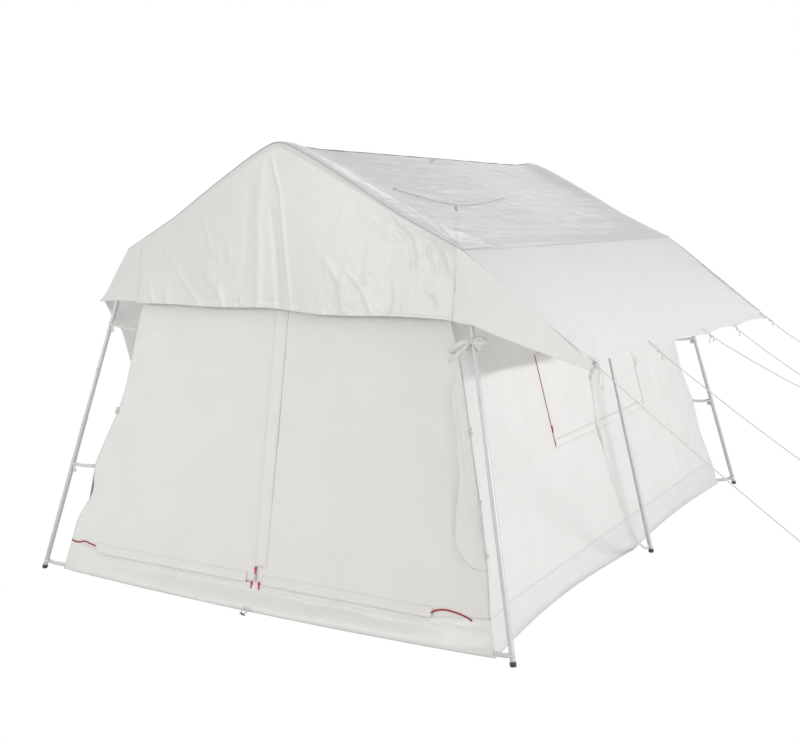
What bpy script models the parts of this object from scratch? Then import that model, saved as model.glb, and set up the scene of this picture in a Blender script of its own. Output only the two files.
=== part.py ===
"""Self-standing family relief tent: a plug-together tube frame, a fly with awnings, a hung inner tent."""

import math

import bmesh
import bpy
import numpy as np
from mathutils import Vector

# Frame, in metres. X runs across the gable, Y from the door (-Y) to the rear, Z up.
foot_half_width = 1.75
foot_half_length = 2.29
arch_half_length = 1.86
knee_half_width = 1.238
knee_height = 2.143
ridge_height = 2.755
upper_tube = 0.027
lower_tube = 0.030
tube_wall = 0.0012
plug_fit = 0.0003
plug_length = 0.09
collar_start = 0.0175
leg_joint_height = 1.04
leg_overlap = 0.16
button_radius = 0.0037
button_fit = 0.0003
button_drop = 0.06
button_proud = 0.0025
button_tail = 0.005
button_rounding = 0.0012
spare_hole_height = 1.35
hole_inset = 0.004
hole_reach = 0.030
foot_trim = 0.030
tube_sides = 16

# Cloth, in metres
cloth = 0.0025
seat = 0.0003
seam = 0.0005
inner_half_width = 1.62
inner_half_length = 2.24
side_lean = 0.26
end_lean = 0.20
door_top = 1.95
band_front = 0.160
band_corner = 0.200
band_side = 0.222
band_rise = 0.32
band_strip = 0.110
side_bow_front = 0.070
side_bow_rear = 0.040
end_bow = 0.060
window_half = 0.87
window_sill = 0.87
window_head = 1.47
window_hem = 0.05
hem_thickness = 0.006
roof_sag = 0.012
gable_fold = 0.006
gable_swell = 0.004
rear_swell = 0.010
side_fold = 0.007
cover_fold = 0.004

# Fly edges, in metres
valance_hem = 1.775
valance_tip_half = 1.515
valance_tip_height = 1.80
tie_x = 1.345
tie_height = 1.749
tip_depth = 0.03
hem_wave = 0.012
valance_fold = 0.018
valance_standoff = 0.003
awning_reach = 2.02
awning_spread = 0.055
awning_edge_height = 1.545
awning_drop_rear = 0.065
awning_scallop = 0.030
awning_sag = 0.018
awning_fold = 0.007
guy_second = -0.90
guy_third = 0.20
guy_fourth = 0.875
flap_drop = 0.96
flap_top_angle = math.radians(50)
flap_foot_angle = math.radians(92)
flap_tie_start = 1.50
flap_tie_knee = (-1.503, 1.79)
flap_tie_end = (-1.40, 1.64)
flap_tie_share = 0.62
flap_fold = 0.014
flap_cut_back = 0.006

# Zips, ropes and strap, in metres
door_zip_rest = 0.235
door_zip_side = 0.002
hem_zip_side = 0.028
window_zip_rest = 1.0
slider_length = 0.022
slider_width = 0.012
slider_depth = 0.008
slider_rounding = 0.0015
slider_seat = 0.0006
pull_length = 0.034
pull_width = 0.007
rope_diameter = 0.006
rope_sag = 0.012
rope_eye_radius = 0.016
rope_eye_steps = 12
rope_eye_turn = math.radians(27)
rope_seat = 0.0009
strap_width = 0.020
strap_thickness = 0.0016

canvas_white = (0.83, 0.83, 0.80)
fly_white = (0.86, 0.86, 0.86)
plastic_white = (0.84, 0.84, 0.82)
shade_grey = (0.66, 0.67, 0.67)
tube_white = (0.70, 0.70, 0.69)
steel_grey = (0.45, 0.45, 0.46)
zip_red = (0.60, 0.05, 0.07)
rope_white = (0.75, 0.75, 0.73)


def clear_scene():
    for obj in list(bpy.data.objects):
        bpy.data.objects.remove(obj, do_unlink=True)


def new_collection(name):
    group = bpy.data.collections.new(name)
    bpy.context.scene.collection.children.link(group)
    return group


clear_scene()
tent = new_collection("family_relief_tent")
cutters = new_collection("cutters")


def paint(obj, colour, roughness, metallic=0.0):
    """A Principled material of the object's own."""
    material = bpy.data.materials.new(obj.name + "_finish")
    material.use_nodes = True
    shader = material.node_tree.nodes["Principled BSDF"]
    shader.inputs["Base Color"].default_value = (*colour, 1.0)
    shader.inputs["Roughness"].default_value = roughness
    shader.inputs["Metallic"].default_value = metallic
    obj.data.materials.append(material)


def finish_mesh(name, bm, group):
    mesh = bpy.data.meshes.new(name)
    bm.to_mesh(mesh)
    bm.free()
    obj = bpy.data.objects.new(name, mesh)
    group.objects.link(obj)
    return obj


def aim(obj, start, direction):
    """Puts the object's origin at start, with its local Z along direction."""
    obj.location = start
    obj.rotation_mode = "QUATERNION"
    obj.rotation_quaternion = Vector(direction).to_track_quat("Z", "Y")


def rod(name, start, end, radius, group, sides=8):
    """A solid round bar from start to end, used for plugs, buttons and cutters."""
    start, end = Vector(start), Vector(end)
    length = (end - start).length
    bm = bmesh.new()
    bmesh.ops.create_cone(bm, cap_ends=True, segments=sides, radius1=radius, radius2=radius, depth=length)
    bmesh.ops.translate(bm, verts=bm.verts, vec=(0, 0, length / 2))
    obj = finish_mesh(name, bm, group)
    aim(obj, start, end - start)
    return obj


def ball(name, centre, radius, group):
    bm = bmesh.new()
    bmesh.ops.create_uvsphere(bm, u_segments=12, v_segments=6, radius=radius)
    obj = finish_mesh(name, bm, group)
    obj.location = centre
    return obj


def block(name, low, high, group):
    """A box between two corners."""
    low, high = Vector(low), Vector(high)
    bm = bmesh.new()
    bmesh.ops.create_cube(bm, size=1.0)
    bmesh.ops.scale(bm, verts=bm.verts, vec=high - low)
    obj = finish_mesh(name, bm, group)
    obj.location = (low + high) / 2
    return obj


def tube(name, start, end, outer, group=tent):
    """A round tube with an open bore: an uncapped cylinder given its wall inwards."""
    start, end = Vector(start), Vector(end)
    length = (end - start).length
    bm = bmesh.new()
    bmesh.ops.create_cone(
        bm, cap_ends=False, segments=tube_sides, radius1=outer / 2, radius2=outer / 2, depth=length
    )
    bmesh.ops.translate(bm, verts=bm.verts, vec=(0, 0, length / 2))
    obj = finish_mesh(name, bm, group)
    obj.data.shade_smooth()
    aim(obj, start, end - start)
    wall = obj.modifiers.new("wall", "SOLIDIFY")
    wall.thickness = tube_wall
    wall.offset = -1.0
    return obj


def combine(obj, other, operation):
    """Adds a Boolean of a helper, which stays out of the render."""
    step = obj.modifiers.new(other.name, "BOOLEAN")
    step.operation = operation
    step.object = other
    step.solver = "EXACT"
    other.hide_render = True
    other.display_type = "WIRE"


def spread(*stops):
    """Stations along a grid: value, steps, value, steps, value and so on."""
    stations = [stops[0]]
    for steps, value in zip(stops[1::2], stops[2::2]):
        stations += list(np.linspace(stations[-1], value, steps + 1)[1:])
    return [float(s) for s in stations]


def sheet(name, us, vs, place, origin=(0, 0, 0), hole=None, thickness=cloth, weld=False):
    """A cloth panel: a grid whose points follow place(u, v), thickened evenly about its middle surface."""
    origin = Vector(origin)
    columns, rows = len(us) - 1, len(vs) - 1
    bm = bmesh.new()
    bmesh.ops.create_grid(bm, x_segments=columns, y_segments=rows, size=0.5)
    station = {}
    for vert in bm.verts:
        u = us[round((vert.co.x + 0.5) * columns)]
        v = vs[round((vert.co.y + 0.5) * rows)]
        station[vert] = (u, v)
    if hole:
        lost = []
        for face in bm.faces:
            u = sum(station[vert][0] for vert in face.verts) / 4
            v = sum(station[vert][1] for vert in face.verts) / 4
            if hole(u, v):
                lost.append(face)
        bmesh.ops.delete(bm, geom=lost, context="FACES")
    for vert in bm.verts:
        vert.co = Vector(place(*station[vert])) - origin
    if weld:
        bmesh.ops.remove_doubles(bm, verts=bm.verts, dist=0.0001)
    obj = finish_mesh(name, bm, tent)
    obj.location = origin
    obj.data.shade_smooth()
    wall = obj.modifiers.new("thickness", "SOLIDIFY")
    wall.thickness = thickness
    wall.offset = 0.0
    wall.use_even_offset = True
    return obj


def mix(a, b, t):
    return a + (b - a) * t


def ease(t):
    """Smooth step from 0 to 1."""
    t = min(max(t, 0.0), 1.0)
    return t * t * (3 - 2 * t)


def hump(t):
    """0 at both ends of 0..1 and 1 between, for folds that die out at a seam."""
    return math.sin(math.pi * min(max(t, 0.0), 1.0))


# Frame
arches = {"front": -arch_half_length, "mid": 0.0, "rear": arch_half_length}
sides = {"left": -1.0, "right": 1.0}
upper_radius = upper_tube / 2
lower_radius = lower_tube / 2
plug_radius = upper_radius - tube_wall - plug_fit


def knee(arch, side):
    return Vector((sides[side] * knee_half_width, arches[arch], knee_height))


def foot(arch, side):
    length = {"front": -foot_half_length, "mid": 0.0, "rear": foot_half_length}[arch]
    return Vector((sides[side] * foot_half_width, length, 0.0))


def leg_at(arch, side, height):
    """The point of a leg's centre line at a height above the ground."""
    return foot(arch, side).lerp(knee(arch, side), height / knee_height)


def ridge(arch):
    return Vector((0.0, arches[arch], ridge_height))


def button_facing(arch, side):
    """The buttons face away from the tent: along Y on the gable legs, along X on the middle ones."""
    return {"front": Vector((0, -1, 0)), "mid": Vector((sides[side], 0, 0)), "rear": Vector((0, 1, 0))}[arch]


def square_to(direction, axis):
    """The part of a direction that is square to an axis, as a unit vector."""
    axis = axis.normalized()
    return (direction - axis * direction.dot(axis)).normalized()


def plug(name, hub, towards, body):
    """A stub inside the next tube's end, fused to the hub it grows from."""
    end = hub + (towards - hub).normalized() * plug_length
    combine(body, rod(name, hub, end, plug_radius, cutters), "UNION")


ground_cut = block("ground_cut", (-3, -3, -0.2), (3, 3, 0), cutters)

for arch in arches:
    for side in sides:
        tag = f"{arch}_{side}"
        top = knee(arch, side)
        axis = (top - foot(arch, side)).normalized()
        out = square_to(button_facing(arch, side), axis)
        button_centre = leg_at(arch, side, leg_joint_height - button_drop)
        spare_centre = leg_at(arch, side, spare_hole_height)

        low_end = foot(arch, side) - axis * foot_trim
        lower = tube("lower_leg_" + tag, low_end, leg_at(arch, side, leg_joint_height), lower_tube)
        combine(lower, ground_cut, "DIFFERENCE")
        hole = rod(
            "button_hole_" + tag, button_centre + out * hole_inset, button_centre + out * hole_reach,
            button_radius + button_fit, cutters,
        )
        combine(lower, hole, "DIFFERENCE")
        paint(lower, tube_white, 0.35, 0.1)

        upper = tube("upper_leg_" + tag, leg_at(arch, side, leg_joint_height - leg_overlap), top, upper_tube)
        combine(upper, hole, "DIFFERENCE")
        spare = rod(
            "spare_hole_" + tag, spare_centre + out * hole_inset, spare_centre + out * hole_reach,
            button_radius, cutters,
        )
        combine(upper, spare, "DIFFERENCE")
        combine(upper, ball("elbow_" + tag, top, upper_radius, cutters), "UNION")
        plug("rafter_plug_" + tag, top, ridge(arch), upper)
        for other in {"front": ["mid"], "mid": ["front", "rear"], "rear": ["mid"]}[arch]:
            plug(f"eave_plug_{tag}_{other}", top, knee(other, side), upper)
        paint(upper, tube_white, 0.35, 0.1)

        collar = (ridge(arch) - top).normalized() * collar_start
        rafter = tube("rafter_" + tag, top + collar, ridge(arch) - collar, upper_tube)
        paint(rafter, tube_white, 0.35, 0.1)

        inside = upper_radius - tube_wall - button_tail
        button = rod(
            "leg_button_" + tag, button_centre + out * inside,
            button_centre + out * (lower_radius + button_proud), button_radius, tent, 12,
        )
        rounding = button.modifiers.new("rounding", "BEVEL")
        rounding.width = button_rounding
        rounding.segments = 1
        rounding.limit_method = "ANGLE"
        button.data.shade_smooth()
        paint(button, steel_grey, 0.35, 0.8)

for arch in arches:
    hub = ball("ridge_joint_" + arch, ridge(arch), upper_radius, tent)
    for side in sides:
        plug(f"ridge_plug_{arch}_{side}", ridge(arch), knee(arch, side), hub)
    for other in {"front": ["mid"], "mid": ["front", "rear"], "rear": ["mid"]}[arch]:
        plug(f"bar_plug_{arch}_{other}", ridge(arch), ridge(other), hub)
    paint(hub, tube_white, 0.35, 0.1)

for bay, (near, far) in {"front": ("front", "mid"), "rear": ("mid", "rear")}.items():
    collar = Vector((0, collar_start, 0))
    bar = tube(f"ridge_bar_{bay}", ridge(near) + collar, ridge(far) - collar, upper_tube)
    paint(bar, tube_white, 0.35, 0.1)
    for side in sides:
        bar = tube(f"eave_bar_{bay}_{side}", knee(near, side) + collar, knee(far, side) - collar, upper_tube)
        paint(bar, tube_white, 0.35, 0.1)

# Roof lines. A cloth over a tube lies seat above it, measured square to the cloth.
roof_slope = (ridge_height - knee_height) / knee_half_width
roof_angle = math.atan(roof_slope)
cloth_offset = upper_radius + seat + cloth / 2
roof_rise = cloth_offset / math.cos(roof_angle)
fly_half_length = arch_half_length + upper_radius
guy_points = (-fly_half_length, guy_second, guy_third, guy_fourth, fly_half_length)


def rafter_height(x):
    return ridge_height - roof_slope * abs(x)


def slack(x, y):
    """How far the cloth hangs down between two arches, part way down the slope."""
    return roof_sag * hump(abs(x) / knee_half_width) * hump(abs(y) / arch_half_length) ** 2


def roof_point(x, y):
    return (x, y, rafter_height(x) + roof_rise - slack(x, y))


awning_top = Vector((knee_half_width, 0, knee_height))
awning_angle = math.atan2(knee_height + cloth_offset - awning_edge_height, awning_reach - knee_half_width)
mitre = (awning_angle - roof_angle) / 2
roof_right = knee_half_width + cloth_offset * math.sin(roof_angle) + (
    cloth_offset * math.tan(mitre) - seat / 2 - cloth / 2 * math.tan(mitre)
) * math.cos(roof_angle)
roof_left = knee_half_width + cloth_offset * math.sin(roof_angle) - flap_cut_back

fly_roof = sheet(
    "fly_roof",
    spread(-roof_left, 6, 0.0, 6, roof_right),
    spread(-fly_half_length, 6, 0.0, 6, fly_half_length),
    roof_point,
)
paint(fly_roof, shade_grey, 0.45)


# Right awning, held out by its guy ropes
def guy_share(y):
    return (y + fly_half_length) / (2 * fly_half_length)


def guy_edge(y):
    """The awning's outer edge before its scallops: x and z at a place along the tent."""
    share = guy_share(y)
    return awning_reach + awning_spread * share, awning_edge_height - awning_drop_rear * share


def scallop(y):
    for start, end in zip(guy_points, guy_points[1:]):
        if start <= y <= end:
            return awning_scallop * hump((y - start) / (end - start))
    return 0.0


def awning_point(y, v):
    """v runs from 0 at the eave bar to 1 at the outer edge."""
    edge_x, edge_z = guy_edge(y)
    slope = Vector((edge_x - knee_half_width, 0, edge_z - knee_height))
    length = slope.length - scallop(y)
    along = slope.normalized()
    normal = Vector((-along.z, 0, along.x))
    start = cloth_offset * math.tan(mitre) * -1 + seat / 2 + cloth / 2 * math.tan(mitre)
    at = awning_top + normal * cloth_offset + along * mix(start, length, v)
    fold = awning_fold * math.sin(7.5 * y + 4.0 * v) * hump(v) * hump(guy_share(y))
    at -= normal * (awning_sag * hump(v) * (0.4 + 0.6 * hump(guy_share(y))) + fold)
    return (at.x, y, at.z)


right_awning = sheet(
    "right_awning",
    spread(guy_points[0], 6, guy_points[1], 6, guy_points[2], 4, guy_points[3], 6, guy_points[4]),
    spread(0.0, 6, 1.0),
    awning_point,
)
paint(right_awning, fly_white, 0.7)


# Left flap: the same awning let down, so that it hangs over the legs with its corners tied up to them
def hanging(v):
    """The flap's run, whose slope steepens evenly from the eave bar to its hem."""
    turn = flap_foot_angle - flap_top_angle
    angle = flap_top_angle + turn * v
    reach = flap_drop / turn
    x = reach * (math.sin(angle) - math.sin(flap_top_angle))
    z = reach * (math.cos(flap_top_angle) - math.cos(angle))
    return -knee_half_width - x, knee_height - z


def tied(v):
    """The run at a gable end, out along the valance's edge and back to the leg."""
    top = (-knee_half_width, knee_height)
    if v < flap_tie_share:
        return tuple(mix(a, b, v / flap_tie_share) for a, b in zip(top, flap_tie_knee))
    beyond = (v - flap_tie_share) / (1 - flap_tie_share)
    return tuple(mix(a, b, beyond) for a, b in zip(flap_tie_knee, flap_tie_end))


def flap_point(y, v):
    start = Vector((-math.sin(flap_top_angle), 0, math.cos(flap_top_angle))) * cloth_offset
    tie = ease((abs(y) - flap_tie_start) / (fly_half_length - flap_tie_start))
    free, drawn = hanging(v), tied(v)
    fold = flap_fold * math.sin(8.2 * y + 0.6) * ease(v * 1.3) * (1 - tie)
    x = mix(free[0], drawn[0], tie) + start.x - fold
    z = mix(free[1], drawn[1], tie) + start.z
    return (x, y, z)


left_flap = sheet(
    "left_flap",
    spread(-fly_half_length, 5, -flap_tie_start, 12, flap_tie_start, 5, fly_half_length),
    spread(0.0, 8, 1.0),
    flap_point,
    origin=(-knee_half_width, 0, knee_height),
)
paint(left_flap, fly_white, 0.7)


# Gable valances, hung in front of the rafters and the legs
def valance_top(x):
    if x < -knee_half_width:
        share = (-x - knee_half_width) / (valance_tip_half - knee_half_width)
        return mix(roof_rise + knee_height, valance_tip_height, share)
    if x > knee_half_width:
        edge_x, edge_z = guy_edge(-fly_half_length)
        share = (x - knee_half_width) / (edge_x - knee_half_width)
        return mix(roof_rise + knee_height, edge_z, share) + cloth / 2 * (1 - share)
    return rafter_height(x) + roof_rise + cloth / 2 / math.cos(roof_angle)


def valance_low(x):
    if x <= tie_x:
        hem = valance_hem + hem_wave * math.cos(5 * x)
        return mix(hem, tie_height, ease((x - 0.9) / (tie_x - 0.9)))
    edge_x, edge_z = guy_edge(-fly_half_length)
    return mix(tie_height, edge_z - tip_depth, (x - tie_x) / (edge_x - tie_x))


def valance_reach(x):
    """How much of the legs' forward lean the cloth follows: all of it where it crosses a leg."""
    if x > tie_x:
        return mix(1.0, 0.05, ease((x - tie_x) / (awning_reach - tie_x)))
    if x < -tie_x:
        return mix(1.0, 0.55, ease((-x - tie_x) / (valance_tip_half - tie_x)))
    return mix(0.75, 1.0, ease(abs(x) / knee_half_width))


leg_lean = (foot_half_length - arch_half_length) / knee_height


def valance_point(x, v, end):
    """v runs from 0 at the roof line to 1 at the hem; end is -1 at the front and 1 at the rear."""
    top, low = valance_top(x), valance_low(x)
    z = mix(top, low, v)
    below = max(knee_height - z, 0.0)
    forward = leg_lean * below * valance_reach(x) + valance_standoff * ease(below / 0.05)
    if abs(x) < knee_half_width:
        folds = 0.5 + 0.5 * math.sin(9.5 * x * (1.0 + 0.15 * v) + 1.2 * v)
        forward += valance_fold * folds * ease(v * 1.2) * hump(abs(x) / knee_half_width)
    return (x, end * (fly_half_length + seat + cloth / 2 + forward), z)


tip_x = guy_edge(-fly_half_length)[0]
valance_columns = spread(
    -valance_tip_half, 3, -knee_half_width, 10, 0.0, 10, knee_half_width, 1, tie_x, 5, tip_x
)
for end_name, end in (("front", -1.0), ("rear", 1.0)):
    valance = sheet(
        end_name + "_valance",
        valance_columns,
        spread(0.0, 6, 1.0),
        lambda x, v, end=end: valance_point(x, v, end),
    )
    paint(valance, plastic_white, 0.3)


# Inner tent. Its walls lean inwards, so that width and length shrink with height.
def inner_x(z):
    return inner_half_width - side_lean * z


def inner_y(z):
    return inner_half_length - end_lean * z


def clamp(t):
    return min(max(t, 0.0), 1.0)


rise_x = inner_x(band_corner) - band_rise
rise_y = inner_y(band_corner) - band_rise


def band_end(x):
    """Top of the mud band across the door and the rear wall, which lifts towards the corners."""
    return mix(band_front, band_corner, clamp((abs(x) - rise_x) / band_rise))


def band_along(y):
    """Top of the mud band along a side, which drops towards the corners."""
    return mix(band_side, band_corner, clamp((abs(y) - rise_y) / band_rise))


floor_z = cloth / 2


def band_height(share, top):
    """Height up the mud band: halfway it reaches the flat strip that carries the hem zip."""
    if share < 0.5:
        return mix(floor_z, band_strip, share * 2)
    return mix(band_strip, top, share * 2 - 1)


def tray_point(u, v):
    """The groundsheet: a floor for |u|, |v| up to 1, and from there to 2 a band that stands up.

    The floor's side edges are drawn in between the corners and the middle legs, where nothing
    holds them, and its end edges bulge; the band's strip and seam above lie in the wall planes."""
    share = max(abs(u), abs(v)) - 1
    if share <= 0:
        side_bow = (side_bow_front if v < 0 else side_bow_rear) * hump(abs(v))
        return (
            u * (inner_half_width - side_bow),
            v * (inner_half_length + end_bow * (1 - u * u)),
            floor_z,
        )
    if abs(u) >= 1 and abs(v) >= 1:
        z = band_height(share, band_corner)
        return (math.copysign(inner_x(z), u), math.copysign(inner_y(z), v), z)
    if abs(u) > 1:
        y = v * inner_half_length
        z = band_height(share, band_along(y))
        return (math.copysign(inner_x(z), u), y, z)
    x = u * inner_half_width
    z = band_height(share, band_end(x))
    return (x, math.copysign(inner_y(z), v), z)


across = rise_x / inner_half_width
along = rise_y / inner_half_length
groundsheet = sheet(
    "groundsheet",
    spread(-2.0, 2, -1.0, 1, -across, 6, across, 1, 1.0, 2, 2.0),
    spread(-2.0, 2, -1.0, 1, -along, 8, along, 1, 1.0, 2, 2.0),
    tray_point,
    hole=lambda u, v: abs(u) > 1 and abs(v) > 1,
    weld=True,
)
paint(groundsheet, plastic_white, 0.3)

ceiling_drop = cloth_offset / math.cos(roof_angle)
# Where the leaning wall meets the ceiling's middle surface
eave_height = (ridge_height - ceiling_drop - roof_slope * inner_half_width) / (1 - roof_slope * side_lean)
wall_inset = (cloth / 2 + seam) * math.hypot(1, side_lean)


def panel_half(z):
    """Half width of a gable panel, which stops inside the side walls."""
    return inner_x(z) - wall_inset


def ceiling_z(x, y):
    return rafter_height(x) - ceiling_drop - slack(x, y)


def inner_roof_point(u, v):
    """v runs over the front gable (-2 to -1), the ceiling (-1 to 1) and the rear gable (1 to 2)."""
    top_half = panel_half(eave_height) - cloth / 2
    top_x = u * top_half
    top_z = rafter_height(top_x) - ceiling_drop
    if abs(v) > 1:
        share = abs(v) - 1
        z = mix(top_z, door_top + seam, share)
        return (mix(top_x, u * panel_half(door_top), share), math.copysign(inner_y(z), v), z)
    y = v * inner_y(top_z)
    return (top_x, y, ceiling_z(top_x, y) if abs(v) < 1 else top_z)


inner_roof = sheet(
    "inner_roof",
    spread(-1.0, 5, 0.0, 5, 1.0),
    spread(-2.0, 2, -1.0, 8, 1.0, 2, 2.0),
    inner_roof_point,
)
paint(inner_roof, canvas_white, 0.85)


def end_wall_point(x_share, v, end, low_x, high_x, swell):
    """A panel of a gable wall between two shares of its half width, from the mud band up to door_top."""
    share = mix(low_x, high_x, x_share)
    half = panel_half(mix(band_front, door_top, v))
    z = mix(band_end(share * half) + seam, door_top - seam / 2, v)
    x = share * panel_half(z)
    billow = swell * hump(x_share) * hump(v)
    fold = gable_fold * math.sin(9 * x + 5 * z) * hump(x_share) * hump(v)
    return (x, end * (inner_y(z) + billow + fold), z)


rise_share = rise_x / panel_half(band_front)
for side, direction in sides.items():
    near_share = 0.0005 * direction
    rise_at = (rise_share - abs(near_share)) / (1 - abs(near_share))
    hinge_z = door_top / 2
    hinge = Vector((
        direction * panel_half(hinge_z), -(inner_y(hinge_z) - cloth / 2 * math.hypot(1, end_lean)), hinge_z
    ))
    door = sheet(
        f"front_door_{side}",
        spread(0.0, 8, rise_at, 2, 1.0),
        spread(0.0, 8, 1.0),
        lambda u, v, a=near_share, b=direction: end_wall_point(u, v, -1.0, a, b, gable_swell),
        origin=hinge,
    )
    paint(door, canvas_white, 0.85)

rear_wall = sheet(
    "rear_wall",
    spread(0.0, 2, 0.5 - rise_share / 2, 10, 0.5 + rise_share / 2, 2, 1.0),
    spread(0.0, 7, 1.0),
    lambda u, v: end_wall_point(u, v, 1.0, -1.0, 1.0, rear_swell),
)
paint(rear_wall, canvas_white, 0.85)


def wall_edge(z):
    """Half length of a side wall, which covers the ends of the gable panels."""
    return inner_y(z) + cloth / 2 * math.hypot(1, end_lean)


def side_wall_point(u, v, direction):
    """The window takes |u| < 1 and 0 < v < 1; the wall goes on to |u| = 2, v = -1 and v = 2."""
    top = eave_height - cloth / 4
    if v < 0:
        guess = wall_edge(band_corner) if abs(u) == 2 else window_half * u
        z = mix(window_sill, band_along(guess) + seam, -v)
    elif v > 1:
        z = mix(window_head, top, v - 1)
    else:
        z = mix(window_sill, window_head, v)
    y = window_half * u
    if abs(u) > 1:
        y = math.copysign(mix(window_half, wall_edge(z), abs(u) - 1), u)
    if v < 0:
        z = mix(window_sill, band_along(y) + seam, -v)
    free = hump(abs(u) - 1) if abs(u) > 1 else 0.0
    fold = side_fold * math.sin(11 * y + 1.5 * z) * free * hump((z - band_side) / (top - band_side))
    return (direction * (inner_x(z) + fold), y, z)


def cover_point(u, v, direction):
    """The window's cover, from its hem up to its seam under the head of the window."""
    z = mix(window_sill + window_hem + seam, window_head - seam, v)
    y = u * (window_half - seam)
    fold = cover_fold * math.sin(6 * y + 8 * z) * hump(u / 2 + 0.5) * hump(v)
    return (direction * (inner_x(z) + fold), y, z)


def slider(name, centre, up, out):
    """A zip's slider with its hanging pull: a small rounded block and a flat tab, fused."""
    up, out = up.normalized(), out.normalized()
    body = block(
        name,
        (-slider_width / 2, -slider_length / 2, 0),
        (slider_width / 2, slider_length / 2, slider_depth),
        tent,
    )
    rounding = body.modifiers.new("rounding", "BEVEL")
    rounding.width = slider_rounding
    rounding.segments = 1
    tab = block(
        name + "_pull",
        (-pull_width / 2, -pull_length, slider_depth * 0.45),
        (pull_width / 2, 0, slider_depth * 0.8),
        cutters,
    )
    turn = Vector(up.cross(out)).normalized()
    for obj in (body, tab):
        for vert in obj.data.vertices:
            local = vert.co + obj.location
            vert.co = turn * local.x + up * local.y + out * local.z
        obj.location = centre
    combine(body, tab, "UNION")
    paint(body, zip_red, 0.4)


rise_v = 1 + (rise_y - window_half) / (wall_edge(band_side) - window_half)
for side, direction in sides.items():
    wall = sheet(
        f"{side}_wall",
        spread(-2.0, 1, -rise_v, 4, -1.0, 6, 1.0, 4, rise_v, 1, 2.0),
        spread(-1.0, 3, 0.0, 2, 1.0, 3, 2.0),
        lambda u, v, d=direction: side_wall_point(u, v, d),
        hole=lambda u, v: abs(u) < 1 and 0 < v < 1,
    )
    paint(wall, canvas_white, 0.85)
    cover = sheet(
        f"{side}_window_cover",
        spread(-1.0, 8, 1.0),
        spread(0.0, 4, 1.0),
        lambda u, v, d=direction: cover_point(u, v, d),
    )
    paint(cover, canvas_white, 0.85)
    wall_up = Vector((-direction * side_lean, 0, 1)).normalized()
    wall_out = Vector((direction, 0, side_lean)).normalized()
    hem_foot = Vector((direction * inner_x(window_sill + seam), 0, window_sill + seam))
    hem = sheet(
        f"{side}_window_hem",
        [-(window_half - seam), 0.0, window_half - seam],
        [0.0, (window_hem - seam) * math.hypot(1, side_lean)],
        lambda y, s, foot_at=hem_foot, up=wall_up: foot_at + up * s + Vector((0, y, 0)),
        thickness=hem_thickness,
    )
    paint(hem, canvas_white, 0.85)
    zip_side = -window_half - slider_width / 2 - seam
    zip_at = Vector((direction * inner_x(window_zip_rest), zip_side, window_zip_rest))
    slider(f"{side}_window_zip_slider", zip_at + wall_out * (cloth / 2 + slider_seat), wall_up, wall_out)

end_up = Vector((0, end_lean, 1)).normalized()
end_out = Vector((0, -1, end_lean)).normalized()


def front_zip_at(x, z):
    """A place on the outer face of the front wall, off it by the slider's running gap."""
    return Vector((x, -inner_y(z), z)) + end_out * (cloth / 2 + slider_seat)


slider("door_zip_slider", front_zip_at(-slider_width / 2 - door_zip_side, door_zip_rest), end_up, end_out)
for side, direction in sides.items():
    at = front_zip_at(direction * hem_zip_side, band_front - slider_length / 2 - slider_seat)
    slider(f"hem_zip_slider_{side}", at, end_up, end_out)


# Guy ropes, from the awning's edge to an eye just past the view
def polyline(name, points, group=tent):
    data = bpy.data.curves.new(name, "CURVE")
    data.dimensions = "3D"
    spline = data.splines.new("POLY")
    spline.points.add(len(points) - 1)
    for slot, point in zip(spline.points, points):
        slot.co = (*point, 1.0)
    obj = bpy.data.objects.new(name, data)
    group.objects.link(obj)
    data.use_fill_caps = True
    return obj


def rope_route(start, end, sag, steps=9):
    """A taut line with a little sag, ended in an open eye that stands in the rope's own upright plane."""
    start, end = Vector(start), Vector(end)
    points = []
    for i in range(steps + 1):
        t = i / steps
        points.append(start.lerp(end, t) - Vector((0, 0, sag * 4 * t * (1 - t))))
    along = (points[-1] - points[-2]).normalized()
    up = square_to(Vector((0, 0, 1)), along)
    centre = end + along * rope_eye_radius
    for i in range(1, rope_eye_steps + 1):
        turn = rope_eye_turn * i
        points.append(centre + (up * math.sin(turn) - along * math.cos(turn)) * rope_eye_radius)
    return points


rope_ends = {
    "guy_rope_front": (3.13, 0.715),
    "guy_rope_2": (2.95, 0.905),
    "guy_rope_3": (2.74, 1.165),
    "guy_rope_4": (2.62, 1.14),
    "guy_rope_rear": (2.43, 1.265),
}
for (name, (end_x, end_z)), y in zip(rope_ends.items(), guy_points):
    corner = Vector(awning_point(y, 1.0))
    far = Vector((end_x, y * 0.995, end_z))
    heading = (far - corner).normalized()
    rope = polyline(name, rope_route(corner + heading * rope_seat, far, rope_sag))
    rope.data.bevel_depth = rope_diameter / 2
    rope.data.bevel_resolution = 2
    paint(rope, rope_white, 0.8)

# Loose storm strap from the front guy corner to the middle leg's foot
strap_top = Vector(valance_point(tip_x, 1.0, -1.0)) - Vector((strap_width / 2, 0, seam))
strap_foot = leg_at("mid", "right", 0.05) - Vector((0, lower_radius + seam, 0))
strap_points = [
    strap_top, strap_top - Vector((0.001, -0.002, 0.03)), (2.003, -1.850, 1.400), (1.992, -1.775, 1.280),
    (1.979, -1.683, 1.159), (1.954, -1.501, 0.985), (1.925, -1.285, 0.790), (1.895, -1.067, 0.606),
    (1.866, -0.850, 0.440), (1.838, -0.630, 0.292), (1.808, -0.410, 0.170), (1.778, -0.200, 0.085),
    strap_foot - Vector((-0.004, 0.05, -0.004)), strap_foot,
]


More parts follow.
